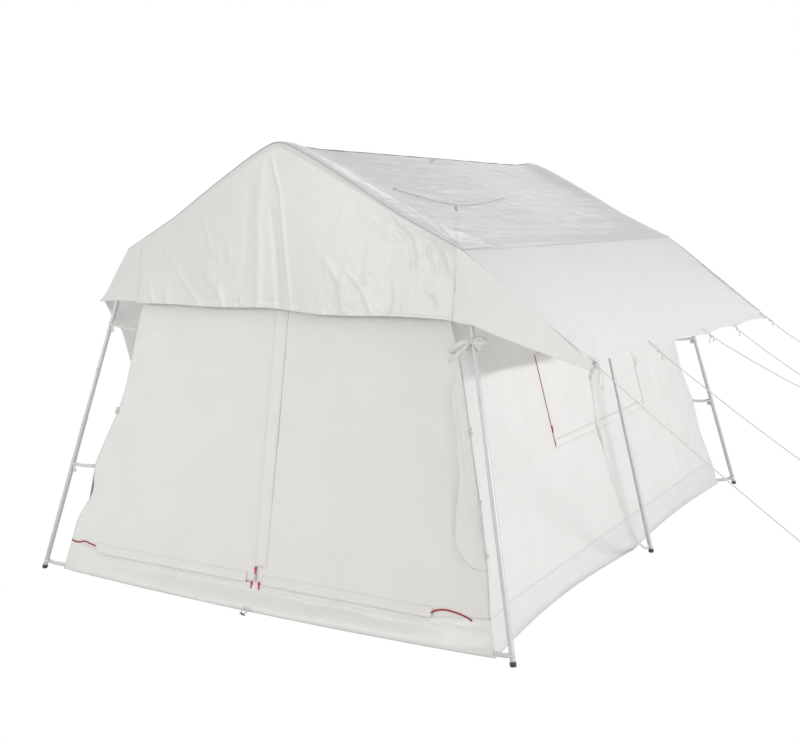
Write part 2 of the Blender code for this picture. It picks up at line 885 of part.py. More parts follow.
def smooth_through(points, steps):
    """A Catmull-Rom curve through the route's points."""
    points = [Vector(p) for p in points]
    padded = [points[0] * 2 - points[1], *points, points[-1] * 2 - points[-2]]
    out = []
    for a, b, c, d in zip(padded, padded[1:], padded[2:], padded[3:]):
        for i in range(steps):
            t = i / steps
            out.append(0.5 * (2 * b + (c - a) * t + (2 * a - 5 * b + 4 * c - d) * t**2
                              + (3 * b - a - 3 * c + d) * t**3))
    out.append(points[-1])
    return out


strap = polyline("storm_strap", smooth_through(strap_points, 4))
strap.data.extrude = strap_width / 2 - strap_thickness / 2
strap.data.bevel_depth = strap_thickness / 2
strap.data.bevel_resolution = 0
strap.data.twist_mode = "Z_UP"
for index, point in enumerate(strap.data.splines[0].points):
    point.tilt = math.pi * ease((index - 10) / 12)
paint(strap, rope_white, 0.8)
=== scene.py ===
"""Looks of the family relief tent: cloths with their folds, ropes, ties, zips and the finish of its tubes."""

import math

import bmesh
import bpy
import numpy as np
from mathutils import Matrix, Vector


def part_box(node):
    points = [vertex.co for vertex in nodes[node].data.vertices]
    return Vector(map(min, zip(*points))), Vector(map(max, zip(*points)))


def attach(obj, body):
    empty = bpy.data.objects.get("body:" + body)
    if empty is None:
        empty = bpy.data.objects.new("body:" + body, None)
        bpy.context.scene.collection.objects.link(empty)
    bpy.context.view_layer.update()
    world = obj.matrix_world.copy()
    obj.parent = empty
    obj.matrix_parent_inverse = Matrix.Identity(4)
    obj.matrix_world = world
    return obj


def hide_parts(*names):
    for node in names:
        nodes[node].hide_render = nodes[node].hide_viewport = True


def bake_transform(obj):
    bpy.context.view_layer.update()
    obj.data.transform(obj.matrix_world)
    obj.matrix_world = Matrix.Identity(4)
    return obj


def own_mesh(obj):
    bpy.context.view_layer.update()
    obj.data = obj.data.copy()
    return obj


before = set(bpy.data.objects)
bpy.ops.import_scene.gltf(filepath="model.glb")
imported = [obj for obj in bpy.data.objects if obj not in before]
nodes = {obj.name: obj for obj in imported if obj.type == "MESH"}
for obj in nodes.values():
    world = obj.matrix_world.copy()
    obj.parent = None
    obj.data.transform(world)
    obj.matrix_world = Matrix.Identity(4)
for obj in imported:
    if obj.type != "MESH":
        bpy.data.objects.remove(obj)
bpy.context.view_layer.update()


# Camera of the photograph, which is 800 by 739 pixels
camera_place = Vector((4.087, -7.366, 2.331))
camera_yaw = math.radians(-30.62)
camera_pitch = math.radians(-7.73)
camera_roll = math.radians(-0.69)
camera_lens = 50.1
camera_sensor = 36.0
farthest_seen = 100.0


def photo_camera():
    data = bpy.data.cameras.new("photo_camera")
    data.lens = camera_lens
    data.sensor_width = camera_sensor
    data.sensor_fit = "HORIZONTAL"
    data.clip_end = farthest_seen
    forward = Vector((
        math.sin(camera_yaw) * math.cos(camera_pitch),
        math.cos(camera_yaw) * math.cos(camera_pitch),
        math.sin(camera_pitch),
    ))
    right = forward.cross(Vector((0, 0, 1))).normalized()
    up = right.cross(forward)
    turned_right = right * math.cos(camera_roll) + up * math.sin(camera_roll)
    turned_up = up * math.cos(camera_roll) - right * math.sin(camera_roll)
    camera = bpy.data.objects.new("photo_camera", data)
    camera.matrix_world = Matrix((
        (turned_right.x, turned_up.x, -forward.x, camera_place.x),
        (turned_right.y, turned_up.y, -forward.y, camera_place.y),
        (turned_right.z, turned_up.z, -forward.z, camera_place.z),
        (0, 0, 0, 1),
    ))
    bpy.context.scene.collection.objects.link(camera)
    bpy.context.scene.camera = camera


photo_camera()


# Sizes of the frame: from its solids, and the feet's places and the legs' radius as in the source
def middle(node):
    low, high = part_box(node)
    return (low + high) / 2


knee_x, _, knee_z = middle("eave_bar_front_right")
ridge_z = middle("ridge_bar_front").z
arch_y = middle("rafter_rear_left").y
tube_radius = (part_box("ridge_bar_front")[1].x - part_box("ridge_bar_front")[0].x) / 2
foot_x = 1.75
foot_y = 2.29
leg_radius = 0.015
leg_lean = (foot_y - arch_y) / knee_z

# Cloth in metres, and the roof's lines
weave = 0.0012
cell = 0.016
fly_gap = tube_radius + 0.00155
fly_half = arch_y + tube_radius
roof_slope = (ridge_z - knee_z) / knee_x
roof_angle = math.atan(roof_slope)
roof_rise = fly_gap / math.cos(roof_angle)
roof_end = knee_x + fly_gap * math.sin(roof_angle)
both_sides = {"left": -1.0, "right": 1.0}
both_ends = {"front": -1.0, "rear": 1.0}


# Small tools for shapes
def mix(a, b, t):
    return a + (b - a) * t


def ease(t):
    """Smooth step from 0 to 1."""
    t = np.clip(t, 0.0, 1.0)
    return t * t * (3 - 2 * t)


def hump(t):
    """0 at 0 and at 1, and 1 halfway between."""
    return np.sin(np.pi * np.clip(t, 0.0, 1.0))


lattice_size = 128
noise_gain = 1.6
lattice = np.random.default_rng(11).uniform(0, 2 * math.pi, (lattice_size, lattice_size))


def noise(x, y, layer):
    """Smooth noise, about -1 to 1, with one bump a unit; each layer is another pattern."""
    x = np.asarray(x, float) + 17.31 * layer
    y = np.asarray(y, float) + 9.17 * layer
    i, j = np.floor(x).astype(int), np.floor(y).astype(int)
    total = 0.0
    for di in (0, 1):
        for dj in (0, 1):
            angle = lattice[(i + di) % lattice_size, (j + dj) % lattice_size]
            fx, fy = x - i - di, y - j - dj
            weight = ease(1 - np.abs(fx)) * ease(1 - np.abs(fy))
            total = total + weight * (np.cos(angle) * fx + np.sin(angle) * fy)
    return total * noise_gain


def crumple(x, y, layer):
    """A sheet that has been folded small: high along sharp wandering creases and 0 in the flats."""
    total = 0.0
    for k in range(3):
        turn = 0.9 * k + 0.4
        along = (x * math.cos(turn) + y * math.sin(turn)) * 1.9**k
        across = (y * math.cos(turn) - x * math.sin(turn)) * 1.9**k
        warp = 0.5 * noise(along * 0.6, across * 0.6, layer + 20 + k)
        crest = 1 - 2.2 * np.abs(noise(along + warp, across + warp, layer + k))
        total = total + 0.55**k * np.maximum(0, crest)
    return total


def fold(x, y, points, width, height, start=1.0, end=0.0, sharp=False):
    """A fold along a line through points, whose strength runs from start to end along the line."""
    points = [np.array(p, float) for p in points]
    lengths = [np.linalg.norm(b - a) for a, b in zip(points, points[1:])]
    total, before, best = sum(lengths), 0.0, None
    for a, b, length in zip(points, points[1:], lengths):
        way = (b - a) / length
        run = np.clip((x - a[0]) * way[0] + (y - a[1]) * way[1], 0, length)
        away = np.hypot(x - a[0] - way[0] * run, y - a[1] - way[1] * run)
        strength = mix(start, end, (before + run) / total)
        lift = strength * (np.exp(-away / width) if sharp else np.exp(-((away / width) ** 2)))
        best = lift if best is None else np.maximum(best, lift)
        before += length
    return height * best


def fan(x, y, origin, rays, height, width):
    """Folds that spread from a tie: each ray is an end point and its share of the height."""
    total = 0.0
    for end_x, end_y, share in rays:
        reach = math.hypot(end_x - origin[0], end_y - origin[1])
        away = np.hypot(x - origin[0], y - origin[1])
        spread = width * (0.35 + 1.3 * np.clip(away / reach, 0, 1))
        total = total + fold(x, y, [origin, (end_x, end_y)], spread, height * share)
    return total


def streaks(x, y, seed, count, low, high, heading, length, width, height, spread=0.24):
    """Sharp little creases strewn between two corners of a cloth, each nearly along heading."""
    rng = np.random.default_rng(seed)
    out = 0.0
    for _ in range(count):
        centre = rng.uniform(low, high)
        angle = heading + rng.normal(0, spread)
        half = length * rng.uniform(0.4, 1.0) / 2
        way = (math.cos(angle), math.sin(angle))
        run = np.clip(((x - centre[0]) * way[0] + (y - centre[1]) * way[1]) / half, -1, 1)
        away = np.hypot(x - centre[0] - way[0] * half * run, y - centre[1] - way[1] * half * run)
        size = height * rng.uniform(0.4, 1.0) * rng.choice((-1.0, 1.0))
        out = out + size * (1 - run**2) * np.exp(-away / width)
    return out


def mirrored(side, rays):
    return [(side * x, y, share) for x, y, share in rays]


def add_up(total, shape, x, y, rows):
    """Adds a fold, a fan or streaks for each row, which holds what that shape is made from."""
    for row in rows:
        total = total + shape(x, y, *row)
    return total


hem_start = 0.965
hem_step = 0.006


def turned_hem(v, height):
    """The doubled cloth of a hem, which starts close to the cloth's lower edge at v = 1."""
    return height * ease((v - hem_start) / hem_step)


def steps(size, *stops):
    """Stations through all the stops, no further apart than size."""
    out = [stops[0]]
    for a, b in zip(stops, stops[1:]):
        count = max(1, math.ceil(abs(b - a) / size))
        out += list(np.linspace(a, b, count + 1)[1:])
    return np.array(out)


def link(name, mesh):
    obj = bpy.data.objects.new(name, mesh)
    bpy.context.scene.collection.objects.link(obj)
    return obj


def grid_object(name, at, side, keep):
    """A mesh through a grid of points, with weave coordinates in metres along its own surface."""
    columns, rows = at.shape[:2]
    index = np.arange(columns * rows).reshape(columns, rows)
    quads = np.stack([index[:-1, :-1], index[1:, :-1], index[1:, 1:], index[:-1, 1:]], -1).reshape(-1, 4)
    if side < 0:
        quads = quads[:, ::-1]
    if keep is not None:
        quads = quads[keep.reshape(-1)]
    used, inverse = np.unique(quads, return_inverse=True)
    quads = inverse.reshape(-1, 4)
    mesh = bpy.data.meshes.new(name)
    mesh.from_pydata(at.reshape(-1, 3)[used].tolist(), [], quads.tolist())
    run_u = np.linalg.norm(np.diff(at, axis=0), axis=-1).mean(axis=1)
    run_v = np.linalg.norm(np.diff(at, axis=1), axis=-1).mean(axis=0)
    u = np.concatenate([[0], np.cumsum(run_u)])
    v = np.concatenate([[0], np.cumsum(run_v)])
    place = np.stack(np.meshgrid(u, v, indexing="ij"), -1).reshape(-1, 2)[used]
    layer = mesh.uv_layers.new(name="weave")
    layer.data.foreach_set("uv", place[quads.reshape(-1)].astype(np.float32).reshape(-1))
    mesh.shade_smooth()
    obj = link(name, mesh)
    obj["cut"] = [float(u[-1]), float(v[-1])]
    return obj


def cloth(name, us, vs, surface, relief=None, side=1, hole=None, wall=weave):
    """A thin cloth: surface gives its middle, and relief how far its folds stand out on its outer side."""
    u, v = np.meshgrid(us, vs, indexing="ij")
    at = np.stack(np.broadcast_arrays(*surface(u, v)), axis=-1).astype(float)
    out = np.cross(np.gradient(at, axis=0), np.gradient(at, axis=1)) * side
    out /= np.maximum(np.linalg.norm(out, axis=-1, keepdims=True), 1e-9)
    if relief is not None:
        at = at + out * np.broadcast_to(relief(u, v), u.shape)[..., None]
    keep = None
    if hole is not None:
        centre_u = (u[:-1, :-1] + u[1:, 1:]) / 2
        centre_v = (v[:-1, :-1] + v[1:, 1:]) / 2
        keep = ~hole(centre_u, centre_v)
    obj = grid_object(name, at, side, keep)
    solid = obj.modifiers.new("cloth_wall", "SOLIDIFY")
    solid.thickness = wall
    solid.offset = 0.0
    return obj


def dress(obj, material, body, stands_for=()):
    """Gives a piece its material and its body; a piece that bends across a joint has no body here."""
    obj.data.materials.clear()
    obj.data.materials.append(material)
    if body:
        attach(obj, body)
    if stands_for:
        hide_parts(*stands_for)
    return obj


def finish_cloth(obj, material, stands_for, body="root"):
    dress(obj, material, body, stands_for)


# Materials
def add_node(tree, kind, *wires, **values):
    """A node with its inputs and settings; a wire is an output, and the input of the node that it feeds."""
    node = tree.nodes.new(kind)
    for key, value in values.items():
        if key in node.inputs:
            node.inputs[key].default_value = value
        else:
            setattr(node, key, value)
    for source, entry in wires:
        tree.links.new(source, node.inputs[entry])
    return node


def new_material(name, colour, roughness, metallic=0.0, specular=0.5):
    material = bpy.data.materials.new(name)
    material.use_nodes = True
    tree = material.node_tree
    shader = tree.nodes["Principled BSDF"]
    shader.inputs["Base Color"].default_value = (*colour, 1.0)
    shader.inputs["Roughness"].default_value = roughness
    shader.inputs["Metallic"].default_value = metallic
    shader.inputs["Specular IOR Level"].default_value = specular
    return material, tree, shader


sharp_noise = "RIDGED_MULTIFRACTAL"


def object_place(tree):
    return tree.nodes.new("ShaderNodeTexCoord").outputs["Object"]


def cloud(tree, place, kind="FBM", **values):
    """Height of a noise texture."""
    return add_node(tree, "ShaderNodeTexNoise", (place, "Vector"), noise_type=kind, **values).outputs["Fac"]


def two_tones(tree, height, tones, positions, shader):
    """Colours a shader between two tones, at two heights."""
    ramp = add_node(tree, "ShaderNodeValToRGB", (height, "Fac"))
    for element, tone, position in zip(ramp.color_ramp.elements, tones, positions):
        element.position = position
        element.color = (*tone, 1.0)
    tree.links.new(ramp.outputs["Color"], shader.inputs["Base Color"])


def mottled(tree, place, light, dark, scale, shader):
    """Colour that drifts between two near tones in soft patches."""
    patches = cloud(tree, place, Scale=scale, Detail=5.0, Roughness=0.6)
    two_tones(tree, patches, (dark, light), (0.3, 0.7), shader)


# How far a cloth's roughness strays to either side
rub = 0.07
# Metres from band to band of Blender's wave texture, at a scale of 1
wave_spacing = 0.314


def weave_height(tree, pitch):
    """Height of crossed threads or tapes, on the cloth's own weave coordinates."""
    place = add_node(tree, "ShaderNodeUVMap", uv_map="weave").outputs["UV"]
    bands = []
    for number, direction in enumerate(("X", "Y")):
        wave = add_node(tree, "ShaderNodeTexWave", (place, "Vector"), bands_direction=direction)
        wave.inputs["Scale"].default_value = wave_spacing / pitch
        bands.append((wave.outputs["Fac"], number))
    return add_node(tree, "ShaderNodeMath", *bands, operation="MULTIPLY").outputs["Value"]


def bump(tree, height, depth, *below):
    """A normal from a height, on top of the normal below it if one is given."""
    wires = [(height, "Height")] + [(normal, "Normal") for normal in below]
    return add_node(tree, "ShaderNodeBump", *wires, Strength=1.0, Distance=depth).outputs["Normal"]


def cloth_material(name, colour, shade, roughness, specular, pitch, thread, creases, crease_depth, sheen=0.0,
                   through=0.0):
    """Cloth with its weave, soft patches of colour and creases; through is how far light shows through."""
    material, tree, shader = new_material(name, colour, roughness, specular=specular)
    shader.inputs["Sheen Weight"].default_value = sheen
    place = object_place(tree)
    mottled(tree, place, colour, [c * s for c, s in zip(colour, shade)], 3.5, shader)
    wrinkle = cloud(tree, place, sharp_noise, Scale=creases, Detail=6.0, Roughness=0.6, Distortion=0.6)
    creased = bump(tree, wrinkle, crease_depth)
    tree.links.new(bump(tree, weave_height(tree, pitch), thread, creased), shader.inputs["Normal"])
    spread = add_node(tree, "ShaderNodeMapRange", (cloud(tree, place, Scale=14.0, Detail=4.0), "Value"))
    spread.inputs["To Min"].default_value = roughness - rub
    spread.inputs["To Max"].default_value = roughness + rub
    tree.links.new(spread.outputs["Result"], shader.inputs["Roughness"])
    if through:
        behind = add_node(tree, "ShaderNodeBsdfTranslucent", Color=(*colour, 1.0))
        wires = [(shader.outputs["BSDF"], 1), (behind.outputs["BSDF"], 2)]
        both = add_node(tree, "ShaderNodeMixShader", *wires, Fac=through)
        tree.links.new(both.outputs["Shader"], tree.nodes["Material Output"].inputs["Surface"])
    return material


def crinkled_material(name, light, dark, roughness, scale):
    """A clear skin over a shade sheet: long crinkles in height, and in the colour painted highlights on their
    crests and painted shade in their hollows.
    """
    material, tree, shader = new_material(name, light, roughness, specular=0.6)
    place = object_place(tree)
    heights = []
    for turn, share in ((0.0, 1.0), (0.35, 1.7), (-0.45, 1.35)):
        drawn_out = add_node(
            tree, "ShaderNodeMapping", (place, "Vector"), Scale=crinkle_stretch, Rotation=(0.0, 0.0, turn)
        )
        heights.append(cloud(
            tree, drawn_out.outputs["Vector"], sharp_noise, Scale=scale * share, Detail=5.0, Roughness=0.62,
            Distortion=0.9,
        ))
    turned = add_node(tree, "ShaderNodeMath", (heights[1], 0), (heights[2], 1), operation="ADD")
    both = add_node(
        tree, "ShaderNodeMath", (turned.outputs["Value"], 0), (heights[0], 2), operation="MULTIPLY_ADD"
    )
    both.inputs[1].default_value = 0.6
    # Painted highlight and painted shade: the same crinkle height that drives the bump takes the colour from
    # the dark tone in the hollows to the light tone on the crests.
    two_tones(tree, both.outputs["Value"], (dark, light), (0.25, 1.0), shader)
    tree.links.new(bump(tree, both.outputs["Value"], crinkle_depth), shader.inputs["Normal"])
    return material


def solid_material(name, colour, roughness, grain, metallic=0.0, depth=0.0002):
    """Moulded, coated or plated pieces: a fine grain and slightly rubbed tones."""
    material, tree, shader = new_material(name, colour, roughness, metallic)
    place = object_place(tree)
    mottled(tree, place, colour, [c * 0.93 for c in colour], grain / 4, shader)
    speckle = cloud(tree, place, Scale=grain, Detail=3.0)
    tree.links.new(bump(tree, speckle, depth), shader.inputs["Normal"])
    return material


def braid_material(name, colour, pitch, depth):
    """Braided or ribbed cord and webbing, read from its own weave coordinates."""
    material, tree, shader = new_material(name, colour, 0.8, specular=0.3)
    mottled(tree, object_place(tree), colour, [c * 0.9 for c in colour], 40.0, shader)
    tree.links.new(bump(tree, weave_height(tree, pitch), depth), shader.inputs["Normal"])
    return material


crinkle_stretch = (1.0, 0.16, 1.0)
crinkle_depth = 0.006
canvas = cloth_material(
    "polycotton_canvas", (0.812, 0.80, 0.775), (0.965, 0.965, 0.96), 0.88, 0.2, 0.0011, 0.00025, 7.0, 0.0016,
    sheen=0.15,
)
fly_cloth = cloth_material(
    "coated_fly", (0.955, 0.955, 0.95), (0.98, 0.98, 0.98), 0.62, 0.35, 0.0012, 0.0002, 6.0, 0.0015,
    through=0.52,
)
gusset_cloth = cloth_material(
    "gusset_cloth", (0.91, 0.91, 0.88), (0.975, 0.975, 0.97), 0.55, 0.4, 0.0012, 0.0002, 7.0, 0.0018,
    through=0.22,
)
gable_sheet = cloth_material(
    "glossy_gable_sheet", (0.685, 0.68, 0.66), (0.97, 0.97, 0.965), 0.34, 0.55, 0.0016, 0.00008, 6.0, 0.0008
)
band_sheet = cloth_material(
    "mud_band_sheet", (0.765, 0.765, 0.74), (0.965, 0.97, 0.96), 0.36, 0.5, 0.0020, 0.00012, 6.0, 0.0014
)
# The grey of the roof sheet and of the front band is their own; the spread between each pair of tones is
# painted highlight and painted shade along the crinkles.
shade_cloth = crinkled_material("grey_shade_sheet", (0.775, 0.775, 0.77), (0.55, 0.55, 0.545), 0.32, 9.0)
skin_band = crinkled_material("roof_band_skin", (0.77, 0.77, 0.76), (0.60, 0.60, 0.59), 0.26, 7.0)
rope_braid = braid_material("braided_rope", (0.74, 0.74, 0.72), 0.0022, 0.0005)
webbing = braid_material("ribbed_webbing", (0.76, 0.76, 0.73), 0.0016, 0.0004)
net_yarn = solid_material("window_net", (0.70, 0.70, 0.69), 0.7, 300.0)
thread = solid_material("sewing_thread", (0.78, 0.78, 0.76), 0.7, 300.0)
tube_paint = solid_material("coated_tube", (0.56, 0.56, 0.56), 0.42, 90.0, 0.35, 0.00012)
plated_steel = solid_material("plated_steel", (0.50, 0.50, 0.51), 0.3, 200.0, 0.9, 0.00008)
red_zip = solid_material("red_zip", (0.56, 0.035, 0.05), 0.42, 240.0)
red_tape = solid_material("red_zip_tape", (0.34, 0.022, 0.032), 0.8, 500.0)
# Near-black grey for the strip along the ridge.
dark_ridge_strip = solid_material("dark_ridge_strip_finish", (0.16, 0.16, 0.165), 0.6, 200.0)
dark_plug = solid_material("dark_foot_plug", (0.045, 0.045, 0.05), 0.5, 160.0)


def as_webbing(piece):
    return dress(piece, webbing, "root")


# Fly edges, in metres
awning_reach = 2.02
awning_spread = 0.055
awning_edge_height = 1.545
awning_drop_rear = 0.065
awning_scallop = 0.030
awning_sag = 0.018
guy_points = (-fly_half, -0.90, 0.20, 0.875, fly_half)
roof_sag = 0.012
# How far the roof laps over the left flap and over the right awning
roof_lap = {-1: 0.004, 1: 0.012}
roof_edge_drop = 0.004
puff_length = 0.22
puff_reach = 0.85
ridge_puff = 0.036
rafter_puff = 0.021
ridge_rounding = 0.045
tie_x = 1.345
tie_height = 1.749
valance_hem = 1.775
hem_left = 1.797
valance_tip_half = 1.495
valance_tip_height = 1.80
tip_depth = 0.03
awning_angle = math.atan2(knee_z + fly_gap - awning_edge_height, awning_reach - knee_x)
mitre = (awning_angle - roof_angle) / 2
hem_width = 0.028


def rafter_height(x, round_off=0.008):
    """Height of the roof's straight lines, rounded where the cloth goes over the ridge bar."""
    flat_top = round_off / 2 * (1 - ease(np.abs(x) / 0.45))
    return ridge_z - roof_slope * (np.sqrt(np.asarray(x) ** 2 + round_off**2) - flat_top)


def slack(x, y):
    return roof_sag * hump(np.abs(x) / knee_x) * hump(np.abs(y) / arch_y) ** 2


def gable_share(y):
    """1 at either gable edge, and fading along the roof."""
    return np.exp(-(((fly_half - np.abs(y)) / puff_length) ** 2))


def puff(x, y):
    """How far the fly stands off its rafters near the gables."""
    reach = np.abs(x) / puff_reach
    return gable_share(y) * (ridge_puff * (1 - ease(reach)) + rafter_puff * hump(reach))


def fly_height(x, y):
    return rafter_height(x, 0.008 + ridge_rounding * gable_share(y)) + roof_rise + puff(x, y) - slack(x, y)


def roof_surface(x, y):
    """The roof, whose last millimetres turn down over the rafters and over the awning and the flap."""
    over = np.maximum(np.abs(x) - roof_end, 0)
    held = np.clip(np.abs(x), 0, roof_end)
    z = fly_height(held, y) + 0.0016 * ease(over / 0.004) - over * math.tan(awning_angle)
    return x, y, z - roof_edge_drop * ease((np.abs(y) - arch_y) / (fly_half - arch_y))


def guy_share(y):
    return (y + fly_half) / (2 * fly_half)


def guy_edge(y):
    share = guy_share(y)
    return awning_reach + awning_spread * share, awning_edge_height - awning_drop_rear * share


def scallop(y):
    out = np.zeros_like(np.asarray(y, float))
    for start, end in zip(guy_points, guy_points[1:]):
        inside = (y >= start) & (y <= end)
        out = np.where(inside, awning_scallop * hump((y - start) / (end - start)), out)
    return out


def awning_place(y, v, lift):
    """A place on the awning, lift above its middle."""
    x, y, z = (float(c) for c in awning_surface(np.array(float(y)), np.array(float(v))))
    return Vector((x, y, z)) + Vector((math.sin(awning_angle), 0, math.cos(awning_angle))) * lift


def awning_surface(y, v):
    """v runs from 0 at the eave bar to 1 at the outer edge."""
    edge_x, edge_z = guy_edge(y)
    slope_x, slope_z = edge_x - knee_x, edge_z - knee_z
    full = np.hypot(slope_x, slope_z)
    along_x, along_z = slope_x / full, slope_z / full
    start = -fly_gap * math.tan(mitre)
    run = mix(start, full - scallop(y), v)
    sag = awning_sag * hump(v) * (0.4 + 0.6 * hump(guy_share(y)))
    x = knee_x - along_z * (fly_gap - sag) + along_x * run
    z = knee_z + along_x * (fly_gap - sag) + along_z * run
    return x, y, z


# Guy ropes, whose routes repeat the frame's: from the awning's edge to an eye just past the view
rope_diameter = 0.006
rope_eye_radius = 0.016
rope_eye_turn = math.radians(13.5)
rope_points = 24
rope_seat = 0.0009
rope_sag = 0.012
rope_ends = {
    "guy_rope_front": (3.13, 0.715),
    "guy_rope_2": (2.95, 0.905),
    "guy_rope_3": (2.74, 1.165),
    "guy_rope_4": (2.62, 1.14),
    "guy_rope_rear": (2.43, 1.265),
}


def awning_corner(y):
    return Vector(float(c) for c in awning_surface(np.array(y), np.array(1.0)))


def rope_route(y, far_x, far_z):
    corner, far = awning_corner(y), Vector((far_x, y * 0.995, far_z))
    start = corner + (far - corner).normalized() * rope_seat
    points = []
    for i in range(rope_points + 1):
        t = i / rope_points
        points.append(start.lerp(far, t) - Vector((0, 0, rope_sag * 4 * t * (1 - t))))
    along = (points[-1] - points[-2]).normalized()
    up = (Vector((0, 0, 1)) - along * along.z).normalized()
    centre = far + along * rope_eye_radius
    for i in range(1, rope_points + 1):
        turn = rope_eye_turn * i
        points.append(centre + (up * math.sin(turn) - along * math.cos(turn)) * rope_eye_radius)
    return points


def sweep(name, points, section, up=None, closed=False):
    """Carries an outline along a path. Its first axis lies across the path and its second towards up."""
    points = [Vector(p) for p in points]
    count, around = len(points), len(section)
    tangents = []
    for i in range(count):
        before = points[i - 1] if closed or i > 0 else points[i]
        after = points[(i + 1) % count] if closed or i < count - 1 else points[i]
        tangents.append((after - before).normalized())
    if up is None:
        rise = tangents[0].orthogonal().normalized()
    else:
        rise = Vector(up[0] if isinstance(up, list) else up)
    at, runs, run = [], [], 0.0
    for i, (point, tangent) in enumerate(zip(points, tangents)):
        if isinstance(up, list):
            rise = Vector(up[i])
        rise = (rise - tangent * rise.dot(tangent)).normalized()
        across = tangent.cross(rise)
        at.append([point + across * a + rise * b for a, b in section])
        if i:
            run += (point - points[i - 1]).length
        runs.append(run)
    mesh = bpy.data.meshes.new(name)
    rings = count if closed else count - 1
    faces, places = [], []
    edge = [0.0]
    for (a, b), (c, d) in zip(section, section[1:] + section[:1]):
        edge.append(edge[-1] + math.hypot(c - a, d - b))
    for i in range(rings):
        j = (i + 1) % count
        far_run = runs[j] if j else run + (points[0] - points[-1]).length
        for k in range(around):
            n = (k + 1) % around
            faces.append((i * around + k, i * around + n, j * around + n, j * around + k))
            places += [(edge[k], runs[i]), (edge[k + 1], runs[i]), (edge[k + 1], far_run), (edge[k], far_run)]
    if not closed:
        faces.append(tuple(reversed(range(around))))
        places += list(reversed(section))
        faces.append(tuple((count - 1) * around + k for k in range(around)))
        places += list(section)
    mesh.from_pydata([tuple(p) for ring in at for p in ring], [], faces)
    layer = mesh.uv_layers.new(name="weave")
    layer.data.foreach_set("uv", np.array(places, np.float32).reshape(-1))
    mesh.shade_smooth()
    return link(name, mesh)


def ring_ways(axis, count):
    """The ways out from an axis, evenly all round."""
    first = axis.orthogonal().normalized()
    second = axis.cross(first)
    return [first * math.cos(t) + second * math.sin(t) for t in np.linspace(0, 2 * math.pi, count + 1)[:-1]]


def round_section(radius, sides=10):
    turns = [2 * math.pi * k / sides for k in range(sides)]
    return [(radius * math.cos(t), radius * math.sin(t)) for t in turns]


def flat_section(width, thickness):
    a, b = width / 2, thickness / 2
    return [(-a, -b), (a, -b), (a, b), (-a, b)]


knot_steps = 47


def knot(name, centre, along, size, turns=2.5):
    """An overhand knot: a short cord wound round itself, with its middle at centre."""
    along = Vector(along).normalized()
    side = along.orthogonal().normalized()
    up = along.cross(side)
    points = []
    for i in range(knot_steps + 1):
        t = i / knot_steps
        turn = 2 * math.pi * turns * t
        reach = size * (0.55 + 0.25 * math.cos(2 * turn / turns))
        points.append(
            Vector(centre) + along * size * 1.1 * (t - 0.5) * 2
            + side * math.cos(turn) * reach + up * math.sin(turn) * reach
        )
    return sweep(name, points, round_section(size * 0.42, 8))


for (name, (far_x, far_z)), y in zip(rope_ends.items(), guy_points):
    route = rope_route(y, far_x, far_z)
    rope = sweep(name + "_line", route, round_section(rope_diameter / 2))
    dress(rope, rope_braid, "root", [name])
    eye_start = route[rope_points]
    eye_knot = knot(name + "_eye_knot", eye_start, eye_start - route[rope_points - 1], 0.005)
    dress(eye_knot, rope_braid, "root")


# Roof: streaks by seed, count, corners, heading, length, width, height and spread
roof_streaks = (
    (65, 70, (0.04, -1.75), (1.2, 1.8), 1.57, 0.75, 0.010, 0.0030, 0.10),
    (68, 50, (0.04, -1.75), (1.2, 1.8), 1.50, 0.40, 0.010, 0.0026, 0.16),
    (71, 30, (0.04, -1.78), (1.2, -1.1), 1.72, 0.6, 0.012, 0.0050, 0.14),
    (75, 60, (0.1, 0.1), (1.2, 1.8), 1.30, 0.25, 0.010, 0.0034, 0.5),
)
roof_rays = ((0.55, -1.25, 1.0), (0.75, -0.95, 0.8), (0.92, -0.6, 0.9), (0.40, -1.5, 0.7), (1.05, -0.4, 0.7))


def roof_relief(x, y):
    """Long shiny wrinkles along the tent, finer crumples, and folds drawn from the right front knee."""
    along = noise(x * 11 + 0.5 * noise(x * 3, y * 1.5, 61), y * 1.3, 62)
    fine = crumple(x * 14 + 0.6 * noise(x * 4, y * 2, 63), y * 2.2, 64)
    out = 0.0032 * np.maximum(along, -0.3) + 0.0022 * fine
    for side in (-1, 1):
        for seed, *row in roof_streaks:
            out = out + streaks(side * x, y, seed + side, *row)
    out = out + fan(x, y, (1.20, -1.86), roof_rays, 0.0045, 0.014)
    taut = np.minimum(1, np.abs(x) / 0.03) * ease((knee_x - 0.01 - np.abs(x)) / 0.05)
    return (np.maximum(out, -0.002) + 0.002) * taut * ease((arch_y - np.abs(y)) / 0.05)


# Gable valances
def valance_top(x):
    edge_x, edge_z = guy_edge(-fly_half)
    low_share = np.clip((-x - knee_x) / (valance_tip_half - knee_x), 0, 1)
    high_share = np.clip((x - knee_x) / (edge_x - knee_x), 0, 1)
    left = mix(roof_rise + knee_z, valance_tip_height + 0.012, low_share) + 0.012 * hump(low_share)
    right = mix(roof_rise + knee_z, edge_z, high_share)
    return np.where(x < -knee_x, left, np.where(x > knee_x, right, fly_height(x, arch_y)))


def valance_low(x):
    """The hem: level, a little higher on the left, and a little lower at the tie on the right leg."""
    edge_x, edge_z = guy_edge(-fly_half)
    hem = mix(hem_left, valance_hem, ease((x + 0.15) / 0.5)) + 0.004 * np.cos(7 * x)
    hem = hem + 0.018 * ease((-x - 1.0) / 0.25)
    inner = mix(hem, tie_height, ease((x - 1.15) / (tie_x - 1.15)))
    outer = mix(tie_height, edge_z - tip_depth, (x - tie_x) / (edge_x - tie_x))
    tip = mix(hem, valance_tip_height, ease((-x - 1.30) / (valance_tip_half - 1.30)))
    return np.where(x > tie_x, outer, np.where(x < -1.30, tip, inner))


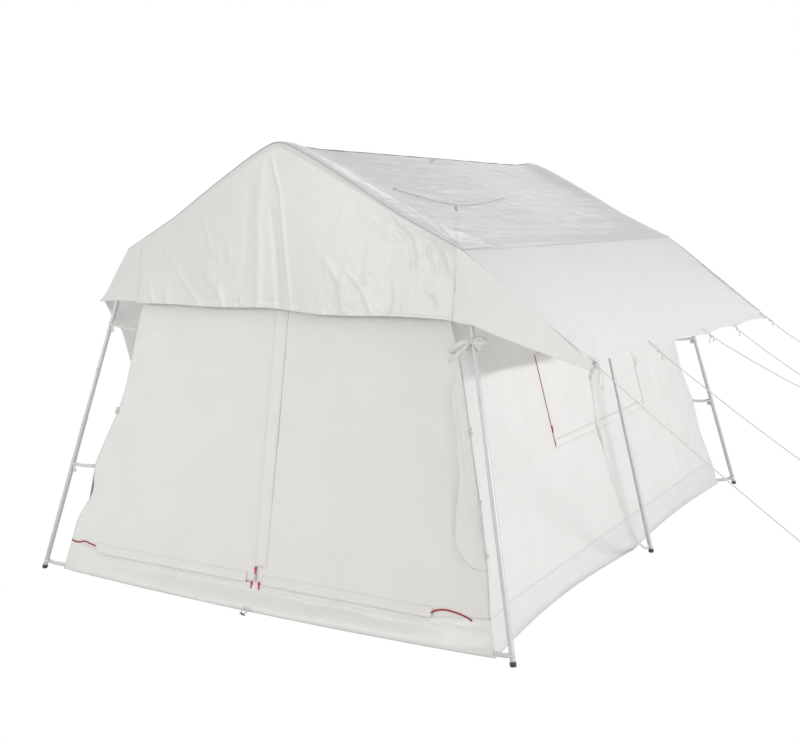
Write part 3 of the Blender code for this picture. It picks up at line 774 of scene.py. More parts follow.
def valance_reach(x):
    """How much of the legs' forward lean the hem follows."""
    right = mix(1.0, 0.05, ease((x - tie_x) / (awning_reach - tie_x)))
    left = mix(1.0, 0.55, ease((-x - tie_x) / (valance_tip_half - tie_x)))
    inner = mix(0.70, 1.0, ease(np.abs(x) / knee_x))
    return np.where(x > tie_x, right, np.where(x < -tie_x, left, inner))


def valance_forward(x, v):
    """How far the sheet stands in front of the arch, v of its way from the rafter to the hem."""
    reach = (leg_lean * (knee_z - valance_low(x)) + leg_clearance) * valance_reach(x)
    return reach * v ** mix(1.2, 0.9, ease(np.abs(x) / knee_x))


sheet_gap = 0.0026
leg_clearance = 0.007
wrap_width = 0.020
wrap_under = 0.0014
wrap_run = 0.055
sheet_left = -1.115
sheet_right = 1.225


def gable_surface(end):
    """Below 0, v is metres back under the roof's edge; from 0 the sheet turns down, to its hem at 1."""
    def place(x, v):
        line_z = rafter_height(x)
        over = fly_height(x, arch_y) - wrap_under - line_z
        ahead = fly_gap + sheet_gap + 0.3 * puff(x, arch_y)
        turn = np.clip(v / wrap_run, 0, 1) * math.pi / 2
        drop = np.clip((v - wrap_run) / (1 - wrap_run), 0, 1)
        hanging = mix(line_z, valance_low(x), drop)
        z = np.where(v > wrap_run, hanging, line_z + over * np.cos(turn))
        z = np.where(v < 0, fly_height(x, arch_y + v) - wrap_under, z)
        y = np.where(v < 0, arch_y + v, arch_y + ahead * np.sin(turn) + valance_forward(x, drop))
        return x, end * y, z
    return place


# The gable sheet's folds: line, width, height (below 0 it goes in), strength at both ends, and True if sharp
valance_folds = (
    ([(-0.10, 2.75), (-0.135, 2.35), (-0.125, 1.78)], 0.030, 0.0050, 0.4, 1.0),
    ([(-0.045, 2.73), (0.028, 2.50), (0.050, 2.30), (0.121, 1.78)], 0.011, 0.0060, 0.8, 0.8, True),
    ([(-0.04, 2.40), (0.0, 2.15), (0.035, 1.78)], 0.022, -0.0055, 0.4, 1.0),
    ([(-0.20, 2.70), (-0.215, 2.40), (-0.23, 1.95)], 0.030, -0.0025, 0.4, 0.8),
    ([(-0.632, 2.474), (-0.57, 2.33), (-0.525, 2.20), (-0.502, 2.147)], 0.012, 0.0045, 0.5, 1.0, True),
    ([(-0.67, 2.45), (-0.58, 2.27), (-0.49, 2.10)], 0.05, -0.0035, 0.6, 0.7),
    ([(-0.992, 2.242), (-0.80, 2.03), (-0.581, 1.80)], 0.011, 0.0042, 0.5, 0.9, True),
    ([(-0.50, 2.12), (-0.53, 2.00), (-0.44, 1.85)], 0.055, 0.0050, 0.8, 0.7),
    ([(-0.435, 1.90), (-0.40, 1.80)], 0.014, 0.0035, 0.8, 1.0),
    ([(-0.90, 1.92), (-0.86, 1.80)], 0.014, 0.0035, 0.4, 1.0),
    ([(-1.02, 1.93), (-0.985, 1.82)], 0.016, 0.0030, 0.4, 1.0),
    ([(-1.10, 2.13), (-1.07, 1.98), (-1.05, 1.83)], 0.05, 0.0040, 0.6, 0.5),
    ([(0.36, 2.10), (0.47, 1.96), (0.50, 1.80)], 0.022, 0.0045, 0.5, 0.9),
    ([(0.50, 2.05), (0.62, 1.93), (0.69, 1.80)], 0.014, 0.0036, 0.7, 0.9),
    ([(0.78, 2.38), (0.84, 2.28), (0.93, 2.21), (0.96, 2.05)], 0.018, 0.0055, 0.6, 0.7),
    ([(1.06, 2.21), (1.14, 2.08), (1.23, 1.95)], 0.022, 0.0060, 0.8, 0.7),
    ([(0.82, 2.05), (0.86, 1.90), (0.84, 1.79)], 0.020, 0.0040, 0.4, 1.0),
)
valance_streaks = (
    (5, 26, (0.33, 1.80), (0.78, 2.06), 1.35, 0.15, 0.007, 0.0026),
    (6, 14, (0.70, 2.16), (1.02, 2.36), 2.2, 0.16, 0.008, 0.0028),
    (7, 22, (1.03, 1.84), (1.19, 2.20), 1.9, 0.16, 0.008, 0.0052),
    (8, 10, (0.80, 1.80), (1.12, 2.05), 1.5, 0.20, 0.009, 0.0026),
    (9, 12, (-1.05, 1.84), (-0.35, 2.15), 1.7, 0.20, 0.012, 0.0026),
    (10, 12, (-0.9, 1.81), (1.0, 1.86), 1.57, 0.08, 0.008, 0.0028),
)


def gable_relief(x, v):
    """The sheet's folds: the pleat under the ridge, creases from the rafters, and puckers at the hem."""
    hang = ease((v - wrap_run) / 0.10)
    z = mix(rafter_height(x), valance_low(x), np.clip((v - wrap_run) / (1 - wrap_run), 0, 1))
    out = add_up(0.0, fold, x, z, valance_folds)
    right = ease((x - 0.15) / 0.5)
    out = out + noise(x * 6.0, z * 1.5, 3) * 0.0035 * ease((v - 0.2) * 2) * (0.3 + 0.7 * right)
    out = out + 0.0016 * crumple(x * 6, z * 3.5, 5) * (0.15 + 0.85 * right)
    out = add_up(out, streaks, x, z, valance_streaks)
    hem = np.clip((v - 0.82) / 0.18, 0, 1)
    out = out + 0.0022 * hem**2 * noise(x * 17, z * 3, 12) + 0.0014 * hem**3 * crumple(x * 22, z * 8, 14)
    out = out + turned_hem(v, 0.0012)
    near_leg = ease((np.abs(x) - 1.0) / 0.2)
    out = np.maximum(out, mix(-0.008, 0.0, near_leg))
    side_edge = np.minimum(x - sheet_left, sheet_right - x)
    tuck = np.where(x < 0, 0.0004, 0.0024) * (1 - ease(side_edge / 0.014)) * ease(v / wrap_run)
    return out * hang - tuck


gable_cell = {"front": 0.0088, "rear": 0.0125}
for end_name, end in both_ends.items():
    size = gable_cell[end_name]
    gable_v = np.concatenate([
        steps(0.01, -wrap_width, 0.0), steps(size * 0.6, 0.0, wrap_run)[1:],
        steps(size, wrap_run, 0.96)[1:], steps(0.005, 0.96, 1.0)[1:],
    ])
    gable_x = steps(size, sheet_left, sheet_right)
    valance = cloth(f"{end_name}_gable_sheet", gable_x, gable_v, gable_surface(end), gable_relief, side=end)
    finish_cloth(valance, gable_sheet, [f"{end_name}_valance"])


gusset_lap = 0.008
gusset_lift = 0.0014


def gusset_surface(end):
    """The gusset's upper edge laps a little over the edge of the awning that it is sewn to."""
    def place(x, v):
        z = mix(valance_top(x) + gusset_lap * ease((x - knee_x) / 0.15), valance_low(x), v)
        return x, end * (fly_half + gusset_lift + valance_forward(x, v)), z
    return place


def right_gusset_relief(x, v):
    share = ease((x - 1.23) / 0.15) * hump((x - 1.20) / 0.9)
    drawn = fold(x, v, [(1.30, 0.95), (1.55, 0.55), (1.9, 0.4)], 0.10, 0.007)
    soft = noise(x * 5, v * 2.2, 41) * 0.005 + drawn
    sewn = ease((x - 1.23) / 0.03)
    puckers = 0.004 * crumple(x * 12, v * 9, 43) * np.exp(-(((x - 1.29) / 0.05) ** 2)) * sewn
    return (soft * share + puckers) * ease(v * 4) + 0.0012 * ease((v - 0.93) / 0.02) * sewn


def left_gusset_relief(x, v):
    free = ease((-x - 1.125) / 0.06) * hump(v)
    soft = 0.0022 * crumple(x * 7, v * 3, 47) + 0.003 * noise(x * 6, v * 2, 49)
    crease = fold(x, v, [(-1.40, 0.0), (-1.33, 1.0)], 0.010, 1.0, sharp=True)
    return free * soft + 0.0025 * crease * ease(v * 4)


gusset_v = steps(0.025, 0.0, 1.0)
gussets = {
    "right": (steps(0.014, 1.205, tie_x, awning_reach), right_gusset_relief, gusset_cloth, "fly_cloth"),
    "left": (steps(0.012, -valance_tip_half, -knee_x, -1.09), left_gusset_relief, gable_sheet, "gable_sheet"),
}
for end_name, end in both_ends.items():
    for side_name, (gusset_x, relief, finish, slot) in gussets.items():
        name = f"{end_name}_gusset_{side_name}"
        gusset = cloth(name, gusset_x, gusset_v, gusset_surface(end), relief, side=end)
        finish_cloth(gusset, finish, ())


# Roof
roof_cell = 0.0092
roof_edge_cell = 0.0045
roof_long_cell = 0.0245
roof_x = np.concatenate([
    [-roof_end - roof_lap[-1]], steps(roof_cell, -roof_end, 0.0, roof_end),
    steps(0.003, roof_end, roof_end + roof_lap[1])[1:],
])
roof_y = np.concatenate([
    steps(roof_edge_cell, -fly_half, -arch_y)[:-1], steps(roof_long_cell, -arch_y, 0.0, arch_y),
    steps(roof_edge_cell, arch_y, fly_half)[1:],
])
shade = cloth("fly_roof_shade", roof_x, roof_y, roof_surface, roof_relief)
finish_cloth(shade, shade_cloth, ["fly_roof"])

# The clear skin's doubled band along the front edge, with a wandering border
band_skin_width = 0.245
skin_lift = 0.0022


def skin_surface(x, v):
    """v runs from 0 at the front edge to 1 at the wandering border."""
    width = band_skin_width * (1 + 0.10 * noise(x * 3.0, 0.3, 35) + 0.05 * noise(x * 9.0, 0.7, 36))
    width = width * mix(1.0, 1.5, ease((np.abs(x) - 0.95) / 0.25))
    return roof_surface(x, -fly_half + 0.0015 + v * width)


def skin_relief(x, v):
    return skin_lift + roof_relief(x, np.asarray(skin_surface(x, v)[1])) + 0.0012 * hump(v * 12)


band_on_roof = cloth(
    "front_roof_band", steps(roof_cell, -roof_end, 0.0, roof_end), steps(0.035, 0.0, 1.0),
    skin_surface, skin_relief, wall=0.0008,
)
finish_cloth(band_on_roof, skin_band, ())


def on_roof(x, y, lift):
    """A place on the wrinkled roof."""
    x, y = np.array(x, float), np.array(y, float)
    rise = float(fly_height(x, y)) + (float(roof_relief(x, y)) + lift) / math.cos(roof_angle)
    return Vector((float(x), float(y), rise))


# A dark narrow strip laid along the top of the ridge.
ridge_line = [on_roof(-0.004 + 0.004 * math.sin(19 * y), y, 0.0022) for y in steps(0.03, -1.60, 1.86)]
ridge_strip_section = [(-0.010, -0.001), (0.010, -0.001), (0.004, 0.0028), (-0.004, 0.0028)]
dress(sweep("ridge_dark_strip", ridge_line, ridge_strip_section, (0, 0, 1)), dark_ridge_strip, "root")


# Awning. The rays of its gathers: metres along the edge from the guy point, share of the width, and strength
between_rays = ((-0.42, 0.25, 0.7), (-0.16, 0.1, 1.0), (0.12, 0.15, 0.8), (0.36, 0.4, 0.6))
front_rays = ((0.5, 0.3, 1.0), (0.25, 0.1, 0.8), (0.9, 0.6, 0.7))
rear_rays = ((-0.5, 0.3, 1.0), (-0.25, 0.1, 0.8))


def awning_relief(y, v):
    """Drawn folds that run down from the eave and lean to the front, gathered towards the guy points."""
    lean = y + 0.45 * v
    swing = (0.35 + 0.65 * hump(v)) * ease(v / 0.15)
    out = swing * (0.011 * noise(lean * 3.3, v * 0.5, 71) + 0.005 * noise(lean * 8.0, v * 0.8, 72))
    drawn = np.maximum(0, 1 - 4.0 * np.abs(noise(lean * 4.6, v * 0.45, 73)))
    out = out + 0.0055 * drawn**1.5 * swing * (0.5 + 0.5 * noise(y * 1.7, v * 1.2, 74))
    front, *between, rear = guy_points
    gathers = [(guy_y, between_rays, 0.005, 0.03) for guy_y in between]
    gathers += [(front, front_rays, 0.006, 0.035), (rear, rear_rays, 0.005, 0.035)]
    for guy_y, rays, height, width in gathers:
        rays = [(guy_y + away, up, share) for away, up, share in rays]
        out = out + fan(y, v, (guy_y, 1.0), rays, height, width)
    out = out + 0.0016 * crumple(y * 9, v * 9, 75) * hump(v)
    out = out * np.minimum(1, v / 0.08)
    return out + turned_hem(v, 0.0014) + 0.0010 * noise(y * 20, v * 5, 77) * ease((v - 0.9) / 0.1)


fly_v = np.concatenate([steps(0.018, 0.0, 0.955), steps(0.007, 0.955, 1.0)[1:]])
awning = cloth(
    "right_awning_cloth", steps(cell, *guy_points), fly_v, awning_surface, awning_relief, side=-1
)
finish_cloth(awning, fly_cloth, ["right_awning"])


# Left flap
flap_drop = 0.96
flap_top_angle = math.radians(50)
flap_foot_angle = math.radians(92)
flap_tie_start = 1.50
flap_tie_knee = (-1.482, 1.79)
flap_tie_end = (-1.385, 1.64)
flap_tie_share = 0.62
flap_tie_rays = ((1.2, 0.9, 1.0), (1.35, 0.55, 0.8), (0.9, 0.75, 0.7))


def flap_surface(y, v):
    turn = flap_foot_angle - flap_top_angle
    reach = flap_drop / turn
    angle = flap_top_angle + turn * v
    free_x = -knee_x - reach * (np.sin(angle) - math.sin(flap_top_angle))
    free_z = knee_z - reach * (math.cos(flap_top_angle) - np.cos(angle))
    near = np.clip(v / flap_tie_share, 0, 1)
    beyond = np.clip((v - flap_tie_share) / (1 - flap_tie_share), 0, 1)
    tied_x = mix(mix(-knee_x, flap_tie_knee[0], near), flap_tie_end[0], beyond)
    tied_z = mix(mix(knee_z, flap_tie_knee[1], near), flap_tie_end[1], beyond)
    tie = ease((np.abs(y) - flap_tie_start) / (fly_half - flap_tie_start))
    roll = 0.014 * np.sin(8.2 * y + 0.6) * ease(v * 1.3) * (1 - tie)
    x = mix(free_x, tied_x, tie) - math.sin(flap_top_angle) * fly_gap - roll
    z = mix(free_z, tied_z, tie) + math.cos(flap_top_angle) * fly_gap
    return x, y, z


def flap_relief(y, v):
    out = 0.006 * noise(y * 4.5, v * 1.1, 81) * ease(v * 2) + 0.0016 * crumple(y * 8, v * 8, 83) * ease(v * 3)
    for end in (-1, 1):
        out = out + fan(y, v, (end * fly_half, 1.0), mirrored(end, flap_tie_rays), 0.006, 0.035)
    return np.maximum(out, -0.003) + turned_hem(v, 0.0014)


flap_y = steps(cell, -fly_half, -flap_tie_start, 0.0, flap_tie_start, fly_half)
flap = cloth("left_flap_cloth", flap_y, fly_v, flap_surface, flap_relief)
dress(flap, fly_cloth, None, ["left_flap"])
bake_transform(flap)


# Inner tent. Its walls lean inwards, so that width and length shrink with height.
inner_half_width = 1.62
inner_half_length = 2.24
side_lean = 0.26
end_lean = 0.20
door_top = 1.95
band_front = 0.160
band_corner = 0.200
band_side = 0.222
band_rise = 0.32
leaf_lap = 0.004
strip_gap = 0.003
strip_narrowest = 0.004
panel_inset = 0.0009
wall_lap = 0.010
lap_stand = 0.0021
band_strip = 0.110
side_bow_front = 0.070
side_bow_rear = 0.040
end_bow = 0.060
window_half = 0.87
window_sill = 0.87
window_head = 1.47
window_hem = 0.05
seam = 0.0005
floor_z = 0.00125
cad_cloth = 0.0025


def inner_x(z):
    return inner_half_width - side_lean * z


def inner_y(z):
    return inner_half_length - end_lean * z


rise_x = inner_x(band_corner) - band_rise
rise_y = inner_y(band_corner) - band_rise


def band_end(x):
    return mix(band_front, band_corner, np.clip((np.abs(x) - rise_x) / band_rise, 0, 1))


def band_along(y):
    return mix(band_side, band_corner, np.clip((np.abs(y) - rise_y) / band_rise, 0, 1))


eave_height = (ridge_z - roof_rise - roof_slope * inner_half_width) / (1 - roof_slope * side_lean)


# Heights on each corner seam, and how far inside its straight line it lies there; the ties hold it out
corner_lines = {
    (-1, -1): (
        (0.20, 0.34, 0.53, 0.71, 1.08, 1.25, 1.60, 1.95),
        (0.0, -0.006, 0.050, 0.004, 0.058, 0.064, 0.030, 0.0),
    ),
    (1, -1): ((0.20, 0.32, 0.55, 0.95, 1.54, 1.75, 1.95), (0.0, -0.022, -0.046, -0.050, -0.052, -0.025, 0.0)),
    (-1, 1): ((0.20, 0.48, 0.74, 1.02, 1.28, 1.60, 1.95), (0.0, 0.024, 0.002, 0.026, 0.004, 0.022, 0.0)),
    (1, 1): ((0.20, 0.48, 0.74, 1.02, 1.28, 1.60, 1.95), (0.0, 0.020, 0.0, 0.022, 0.003, 0.018, 0.0)),
}
seam_draw_back = 0.35


def corner_draw(z, side, end):
    heights, depths = corner_lines[side, end]
    return sum(np.interp(z + shift, heights, depths) for shift in (-0.04, -0.02, 0.0, 0.02, 0.04)) / 5


def panel_half(z):
    return inner_x(z) - panel_inset


def end_panel(end):
    """A gable panel by its share of the half width, with v from the mud band's top to the door's."""
    def place(share, v):
        half = panel_half(mix(band_front, door_top, v))
        z = mix(band_end(share * half) - leaf_lap, door_top, v)
        draw = np.where(share > 0, corner_draw(z, 1, end), corner_draw(z, -1, end)) * np.abs(share) ** 5
        x = share * panel_half(z) - np.sign(share) * draw
        return x, end * (inner_y(z) - draw * seam_draw_back), z
    return place


# Folds of the front wall: line, width, height (below 0 it goes in) and strength at both ends
front_left_folds = (
    (
        [(-1.15, 1.56), (-1.005, 1.353), (-0.848, 1.11), (-0.67, 0.858), (-0.55, 0.70)],
        0.045, 0.015, 0.8, 0.35,
    ),
    (
        [(-1.19, 1.30), (-1.136, 1.105), (-1.109, 0.851), (-1.083, 0.58), (-1.13, 0.34)],
        0.036, 0.016, 0.35, 0.9,
    ),
    ([(-1.42, 0.685), (-1.31, 0.624), (-1.237, 0.529), (-1.22, 0.42)], 0.030, 0.010, 1.0, 0.3),
    ([(-1.04, 0.568), (-0.942, 0.428)], 0.030, 0.006, 0.9, 0.4),
    ([(-1.161, 0.21), (-1.103, 0.289), (-1.031, 0.21)], 0.012, 0.005),
)
front_left_fans = (
    (
        (-1.15, 1.58),
        ((-0.90, 1.64, 1.0), (-0.88, 1.76, 0.8), (-0.86, 1.50, 0.7), (-1.02, 1.80, 0.7), (-0.93, 1.40, 0.5)),
        0.0045, 0.014,
    ),
    ((-1.43, 0.71), ((-1.30, 0.80, 0.8), (-1.33, 0.92, 0.7), (-1.36, 0.52, 0.9)), 0.005, 0.014),
)
front_right_folds = (
    ([(0.55, 1.60), (0.712, 1.27), (0.80, 1.10)], 0.040, 0.006, 0.3, 0.8),
    ([(0.941, 0.874), (1.02, 0.55), (1.059, 0.234)], 0.040, 0.013, 0.4, 1.0),
    ([(0.60, 1.75), (0.63, 1.35), (0.60, 1.15)], 0.035, 0.003, 0.5, 0.6),
    ([(1.215, 1.60), (1.238, 1.35), (1.285, 1.18), (1.338, 0.944), (1.33, 0.72)], 0.024, 0.010, 0.7, 1.0),
    ([(1.19, 1.40), (1.245, 1.15), (1.29, 0.92), (1.31, 0.62)], 0.035, -0.009, 0.3, 1.0),
)
wall_foot = 0.165
side_foot = 0.2


def lapped_foot(share):
    """The wall's foot stands off its middle, where it laps over the mud band."""
    return lap_stand * (1 - ease(share))


def front_wall_relief(share, v):
    """Folds of the front wall, from the ties at its corners, with puckers along its seams."""
    z = mix(wall_foot, door_top, v)
    x = share * panel_half(z)
    out = add_up(0.0, fold, x, z, front_left_folds)
    out = add_up(out, fan, x, z, front_left_fans)
    out = add_up(out, fold, x, z, front_right_folds)
    out = out + 0.006 * noise(x * 2.1, z * 1.0, 91) + 0.0016 * noise(x * 6.5, z * 3, 92)
    foot = np.exp(-((z - 0.20) / 0.05) ** 2)
    out = out + 0.0018 * foot * noise(x * 30, z * 8, 93)
    centre = np.exp(-((np.abs(x) - 0.09) / 0.05) ** 2)
    out = out + 0.0014 * centre * noise(x * 5, z * 17, 94)
    strip = ease((x - 1.20) / 0.05) * ease((z - 0.42) / 0.1)
    out = out + 0.004 * strip * crumple(x * 9, z * 5, 95)
    quiet = ease((1 - np.abs(share)) / 0.015) * ease(v / 0.02) * ease(np.abs(x) / 0.06) * ease((1 - v) / 0.03)
    return out * quiet + lapped_foot(v / 0.012)


rear_tie_rays = ((0.62, 0.90, 1.0), (0.95, 0.72, 0.8), (1.16, 0.7, 0.8), (0.5, 1.5, 0.4))


def rear_wall_relief(share, v):
    z = mix(wall_foot, door_top, v)
    x = share * panel_half(z)
    out = 0.007 * noise(x * 2.1, z * 1.0, 101) + 0.0026 * noise(x * 7, z * 4, 102)
    for side in (-1, 1):
        out = out + fan(x, z, (side * 1.18, 1.60), mirrored(side, rear_tie_rays), 0.010, 0.045)
        out = out + fold(x, z, [(side * 1.22, 1.35), (side * 1.30, 0.9), (side * 1.38, 0.45)], 0.025, 0.008)
    out = out * ease((1 - np.abs(share)) / 0.03) * ease(v / 0.03) * ease((1 - v) / 0.03) + 0.004 * hump(v)
    return out + lapped_foot(v / 0.012)


def bend_with_leaf(piece, side):
    """Bakes the piece's place into its mesh; the corner seam's direction and the way inwards are worked out,
    but nothing uses them.
    """
    sign = both_sides[side]
    along = Vector((-sign * side_lean, end_lean, 1.0)).normalized()
    inwards = Vector((-sign, 0, 0))
    inwards = (inwards - along * inwards.dot(along)).normalized()
    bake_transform(piece)


panel_v = steps(0.0085, 0.0, 1.0)
near_share = 0.0005
for side, sign in both_sides.items():
    shares = steps(0.0095, near_share, 1.0) * sign
    leaf = cloth(f"front_{side}_leaf", shares, panel_v, end_panel(-1.0), front_wall_relief, side=sign)
    dress(leaf, canvas, None, [f"front_door_{side}"])
    bend_with_leaf(leaf, side)
rear = cloth("rear_wall_panel", steps(0.0105, -1.0, 1.0), panel_v, end_panel(1.0), rear_wall_relief, side=-1)
finish_cloth(rear, canvas, ["rear_wall"])


# Side walls, with the window left open in each
def wall_edge(z):
    return inner_y(z) + cad_cloth / 2 * math.hypot(1, end_lean)


def side_panel(direction):
    """u is metres along the tent at the wall's foot; the wall narrows upwards outside the window."""
    def place(u, z):
        full = wall_edge(band_corner)
        beyond = np.clip((np.abs(u) - window_half) / (full - window_half), 0, 1)
        foot = np.where(z < 0.5, band_along(u) - wall_lap, z)
        rise = np.clip((z - side_foot) / (window_sill - side_foot), 0, 1)
        below_sill = mix(foot, window_sill, rise)
        height = np.where(z < window_sill, below_sill, z)
        y = np.where(np.abs(u) > window_half, np.sign(u) * mix(window_half, wall_edge(height), beyond), u)
        front, rear = corner_draw(height, direction, -1), corner_draw(height, direction, 1)
        draw = np.where(u > 0, rear, front) * beyond**4
        return direction * (inner_x(height) - draw), y - np.sign(u) * draw * seam_draw_back, height
    return place


side_folds = (
    ([(-0.35, 0.80), (-0.28, 0.25)], 0.05, 0.008, 0.3, 1.0),
    ([(0.55, 0.82), (0.70, 0.25)], 0.06, 0.009, 0.3, 1.0),
    ([(-1.35, 1.5), (-1.30, 0.9), (-1.36, 0.3)], 0.05, 0.008, 0.6, 1.0),
    ([(1.25, 1.5), (1.36, 0.9), (1.30, 0.3)], 0.05, 0.008, 0.6, 1.0),
)


side_tie_rays = ((1.55, 0.75, 1.0), (1.25, 0.95, 0.7), (1.72, 0.6, 0.8), (1.4, 1.5, 0.5))


def side_relief(u, z):
    """Loose upright folds, fuller near the ties, calm round the window."""
    beside = np.maximum(np.abs(u) - window_half - 0.02, 0)
    above_below = np.maximum(np.maximum(window_sill - z, z - window_head), 0)
    frame_calm = ease(np.hypot(beside, above_below) / 0.12)
    out = 0.008 * noise(u * 3.2, z * 0.7, 111) + 0.0030 * noise(u * 11, z * 1.2, 112)
    out = add_up(out, fold, u, z, side_folds)
    for end in (-1, 1):
        out = out + fan(u, z, (end * 1.93, 1.58), mirrored(end, side_tie_rays), 0.010, 0.05)
    edge = ease((2.19 - np.abs(u)) / 0.05) * ease((z - 0.21) / 0.06) * ease((1.94 - z) / 0.1)
    shape = np.where(np.abs(u) > 0.75, 1.0, 0.6)
    return out * edge * frame_calm * shape + lapped_foot((z - side_foot) / 0.035)


def window_hole(u, z):
    return (np.abs(u) < window_half) & (z > window_sill) & (z < window_head)


side_u = steps(cell, -wall_edge(band_corner), -window_half, 0.0, window_half, wall_edge(band_corner))
side_z = steps(cell, side_foot, window_sill, window_head, eave_height)
for side, sign in both_sides.items():
    wall = cloth(
        f"{side}_wall_panel", side_u, side_z, side_panel(sign), side_relief, side=sign, hole=window_hole
    )
    finish_cloth(wall, canvas, [f"{side}_wall"])


# Window covers, and the strip at each cover's hem, which goes with the window hem
cover_lift = 0.0004


def cover_surface(direction):
    def place(y, z):
        return direction * (inner_x(z) + cover_lift), y, z
    return place


cover_folds = (
    ([(-0.80, 1.42), (-0.55, 1.15), (-0.30, 0.93)], 0.04, 0.007, 1.0, 0.4),
    ([(-0.84, 1.30), (-0.72, 1.05), (-0.66, 0.92)], 0.03, 0.006, 0.8, 0.5),
)


def cover_relief(y, z):
    out = 0.006 * noise(y * 3.4, z * 2.2, 121) + 0.0025 * noise(y * 9, z * 6, 122)
    out = add_up(out, fold, y, z, cover_folds)
    edge = ease((window_half - np.abs(y)) / 0.05) * ease((z - 0.92) / 0.04) * ease((window_head - z) / 0.04)
    return (np.maximum(out, -0.003) + 0.003) * edge


def window_hem_relief(y, z):
    return 0.003 * hump((z - window_sill) / window_hem) + 0.0008 * noise(y * 24, z * 30, 124)


cover_y = steps(cell, -window_half + 0.001, window_half - 0.001)
cover_z = steps(0.014, window_sill + window_hem, window_head - 0.001)
hem_z = steps(0.006, window_sill + 0.001, window_sill + window_hem)
for side, sign in both_sides.items():
    place = cover_surface(sign)
    cover = cloth(f"{side}_window_panel", cover_y, cover_z, place, cover_relief, side=sign)
    finish_cloth(cover, canvas, [f"{side}_window_cover"])
    up = Vector((-sign * side_lean, 0, 1)).normalized()
    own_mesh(cover)
    hem = cloth(f"{side}_window_hem_strip", cover_y, hem_z, place, window_hem_relief, side=sign, wall=0.002)
    body = f"{side}_window_hem"
    finish_cloth(hem, canvas, [body], body)


# Groundsheet: the floor, and the mud band that stands up all round; the last share of each edge is its corner
corner_share = 0.1
band_stops = (-1.0, corner_share - 1, 0.0, 1 - corner_share, 1.0)


def floor_half_width(t):
    """Half the floor's width, t of the way from its middle to its front or rear edge."""
    return inner_half_width - np.where(t < 0, side_bow_front, side_bow_rear) * hump(np.abs(t))


def floor_half_length(t):
    return inner_half_length + end_bow * (1 - t * t)


def band_surface(direction, on_side):
    """t runs along one edge of the floor from -1 to 1, and s from 0 at the floor to 1 at the band's top."""
    def place(t, s):
        if on_side:
            edge, along = direction * floor_half_width(t), t * inner_half_length
            top, flat_at, belly_depth, lean = band_along(along), inner_x, 0.012, end_lean
        else:
            edge, along = direction * floor_half_length(t), t * inner_half_width
            top, flat_at, belly_depth, lean = band_end(along), inner_y, 0.007, side_lean
        z = np.where(s < 0.5, mix(floor_z, band_strip, s * 2), mix(band_strip, top, s * 2 - 1))
        flat = direction * flat_at(z)
        rise = np.clip(s * 2, 0, 1)
        belly = belly_depth * hump(rise) * hump((t + 1) / 2)
        corner = np.clip((np.abs(t) - (1 - corner_share)) / corner_share, 0, 1)
        across = np.where(s < 0.5, mix(edge, flat, ease(rise)) + direction * belly, flat)
        across = mix(across, flat, corner**3)
        along = along - np.sign(t) * lean * z * corner
        return (across, along, z) if on_side else (along, across, z)
    return place


def band_relief(layer, long_half):
    """Soft dents along the band, sharp creases that are mostly upright, and puckers under the seam."""
    low, high = (-long_half, 0.30), (long_half, 0.80)
    creases = (
        (layer, 150, low, high, 1.57, 0.22, 0.010, 0.0030, 0.5),
        (layer + 1, 60, low, high, 0.05, 0.25, 0.012, 0.0026, 0.1),
    )

    def lift(t, s):
        along = t * long_half
        body = hump(np.clip(s / 0.55, 0, 1))
        out = 0.005 * noise(along * 3.4, s * 1.5, layer) * body
        out = out + 0.0024 * crumple(along * 7, s * 2.4, layer + 1)
        seam_rows = np.exp(-(((s - 0.6) / 0.25) ** 2))
        out = out + 0.0022 * seam_rows * noise(along * 22, s * 4, layer + 3)
        out = add_up(out, streaks, along, s, creases)
        return out * ease((1 - np.abs(t)) / 0.01) * ease(s / 0.06) * ease((0.88 - s) / 0.22)
    return lift


# Each band's direction, whether it runs along a side, the turn of its outer face, and its layer of noise
band_places = {
    "left": (-1.0, True, -1.0, 137), "right": (1.0, True, 1.0, 131),
    "front": (-1.0, False, 1.0, 149), "rear": (1.0, False, -1.0, 143),
}
band_s = steps(0.05, 0.0, 0.5, 1.0)
bands = []
for name, (direction, on_side, turn, layer) in band_places.items():
    band_cell, long_half = (0.0072, inner_half_length) if on_side else (0.0095, inner_half_width)
    bands.append(cloth(
        f"mud_band_{name}", steps(band_cell, *band_stops), band_s,
        band_surface(direction, on_side), band_relief(layer, long_half), side=turn,
    ))


def floor_surface(u, v):
    return u * floor_half_width(v), v * floor_half_length(u), np.full_like(u, floor_z)


def floor_relief(u, v):
    rumpled = 0.004 * np.maximum(crumple(u * 9, v * 12, 155) - 0.2, 0)
    return 0.0012 + rumpled * ease((1 - np.abs(u)) * 20) * ease((1 - np.abs(v)) * 20)


floor_cloth = cloth(
    "groundsheet_floor", steps(0.04, -1.0, 1.0), steps(0.03, -1.0, 1.0), floor_surface, floor_relief
)
finish_cloth(floor_cloth, band_sheet, ["groundsheet"])
for band in bands:
    finish_cloth(band, band_sheet, ())


# Ceiling and the gables above the doors
def ceiling_surface(u, v):
    """v runs from -1 to 1 along the ceiling, and on to -2 and 2 down the gables."""
    top_x = u * (panel_half(eave_height) - cad_cloth / 2)
    top_z = rafter_height(top_x) - roof_rise
    share = np.clip(np.abs(v) - 1, 0, 1)
    gable_z = mix(top_z, door_top + seam, share)
    gable_x = mix(top_x, u * panel_half(door_top), share)
    y = np.where(np.abs(v) > 1, np.sign(v) * inner_y(gable_z), v * inner_y(top_z))
    z = np.where(np.abs(v) > 1, gable_z, np.where(np.abs(v) < 1, top_z - slack(top_x, y), top_z))
    return np.where(np.abs(v) > 1, gable_x, top_x), y, z


def ceiling_relief(u, v):
    return -0.003 * crumple(u * 6, v * 8, 161) * hump((v + 2) / 4) * hump(np.abs(u))


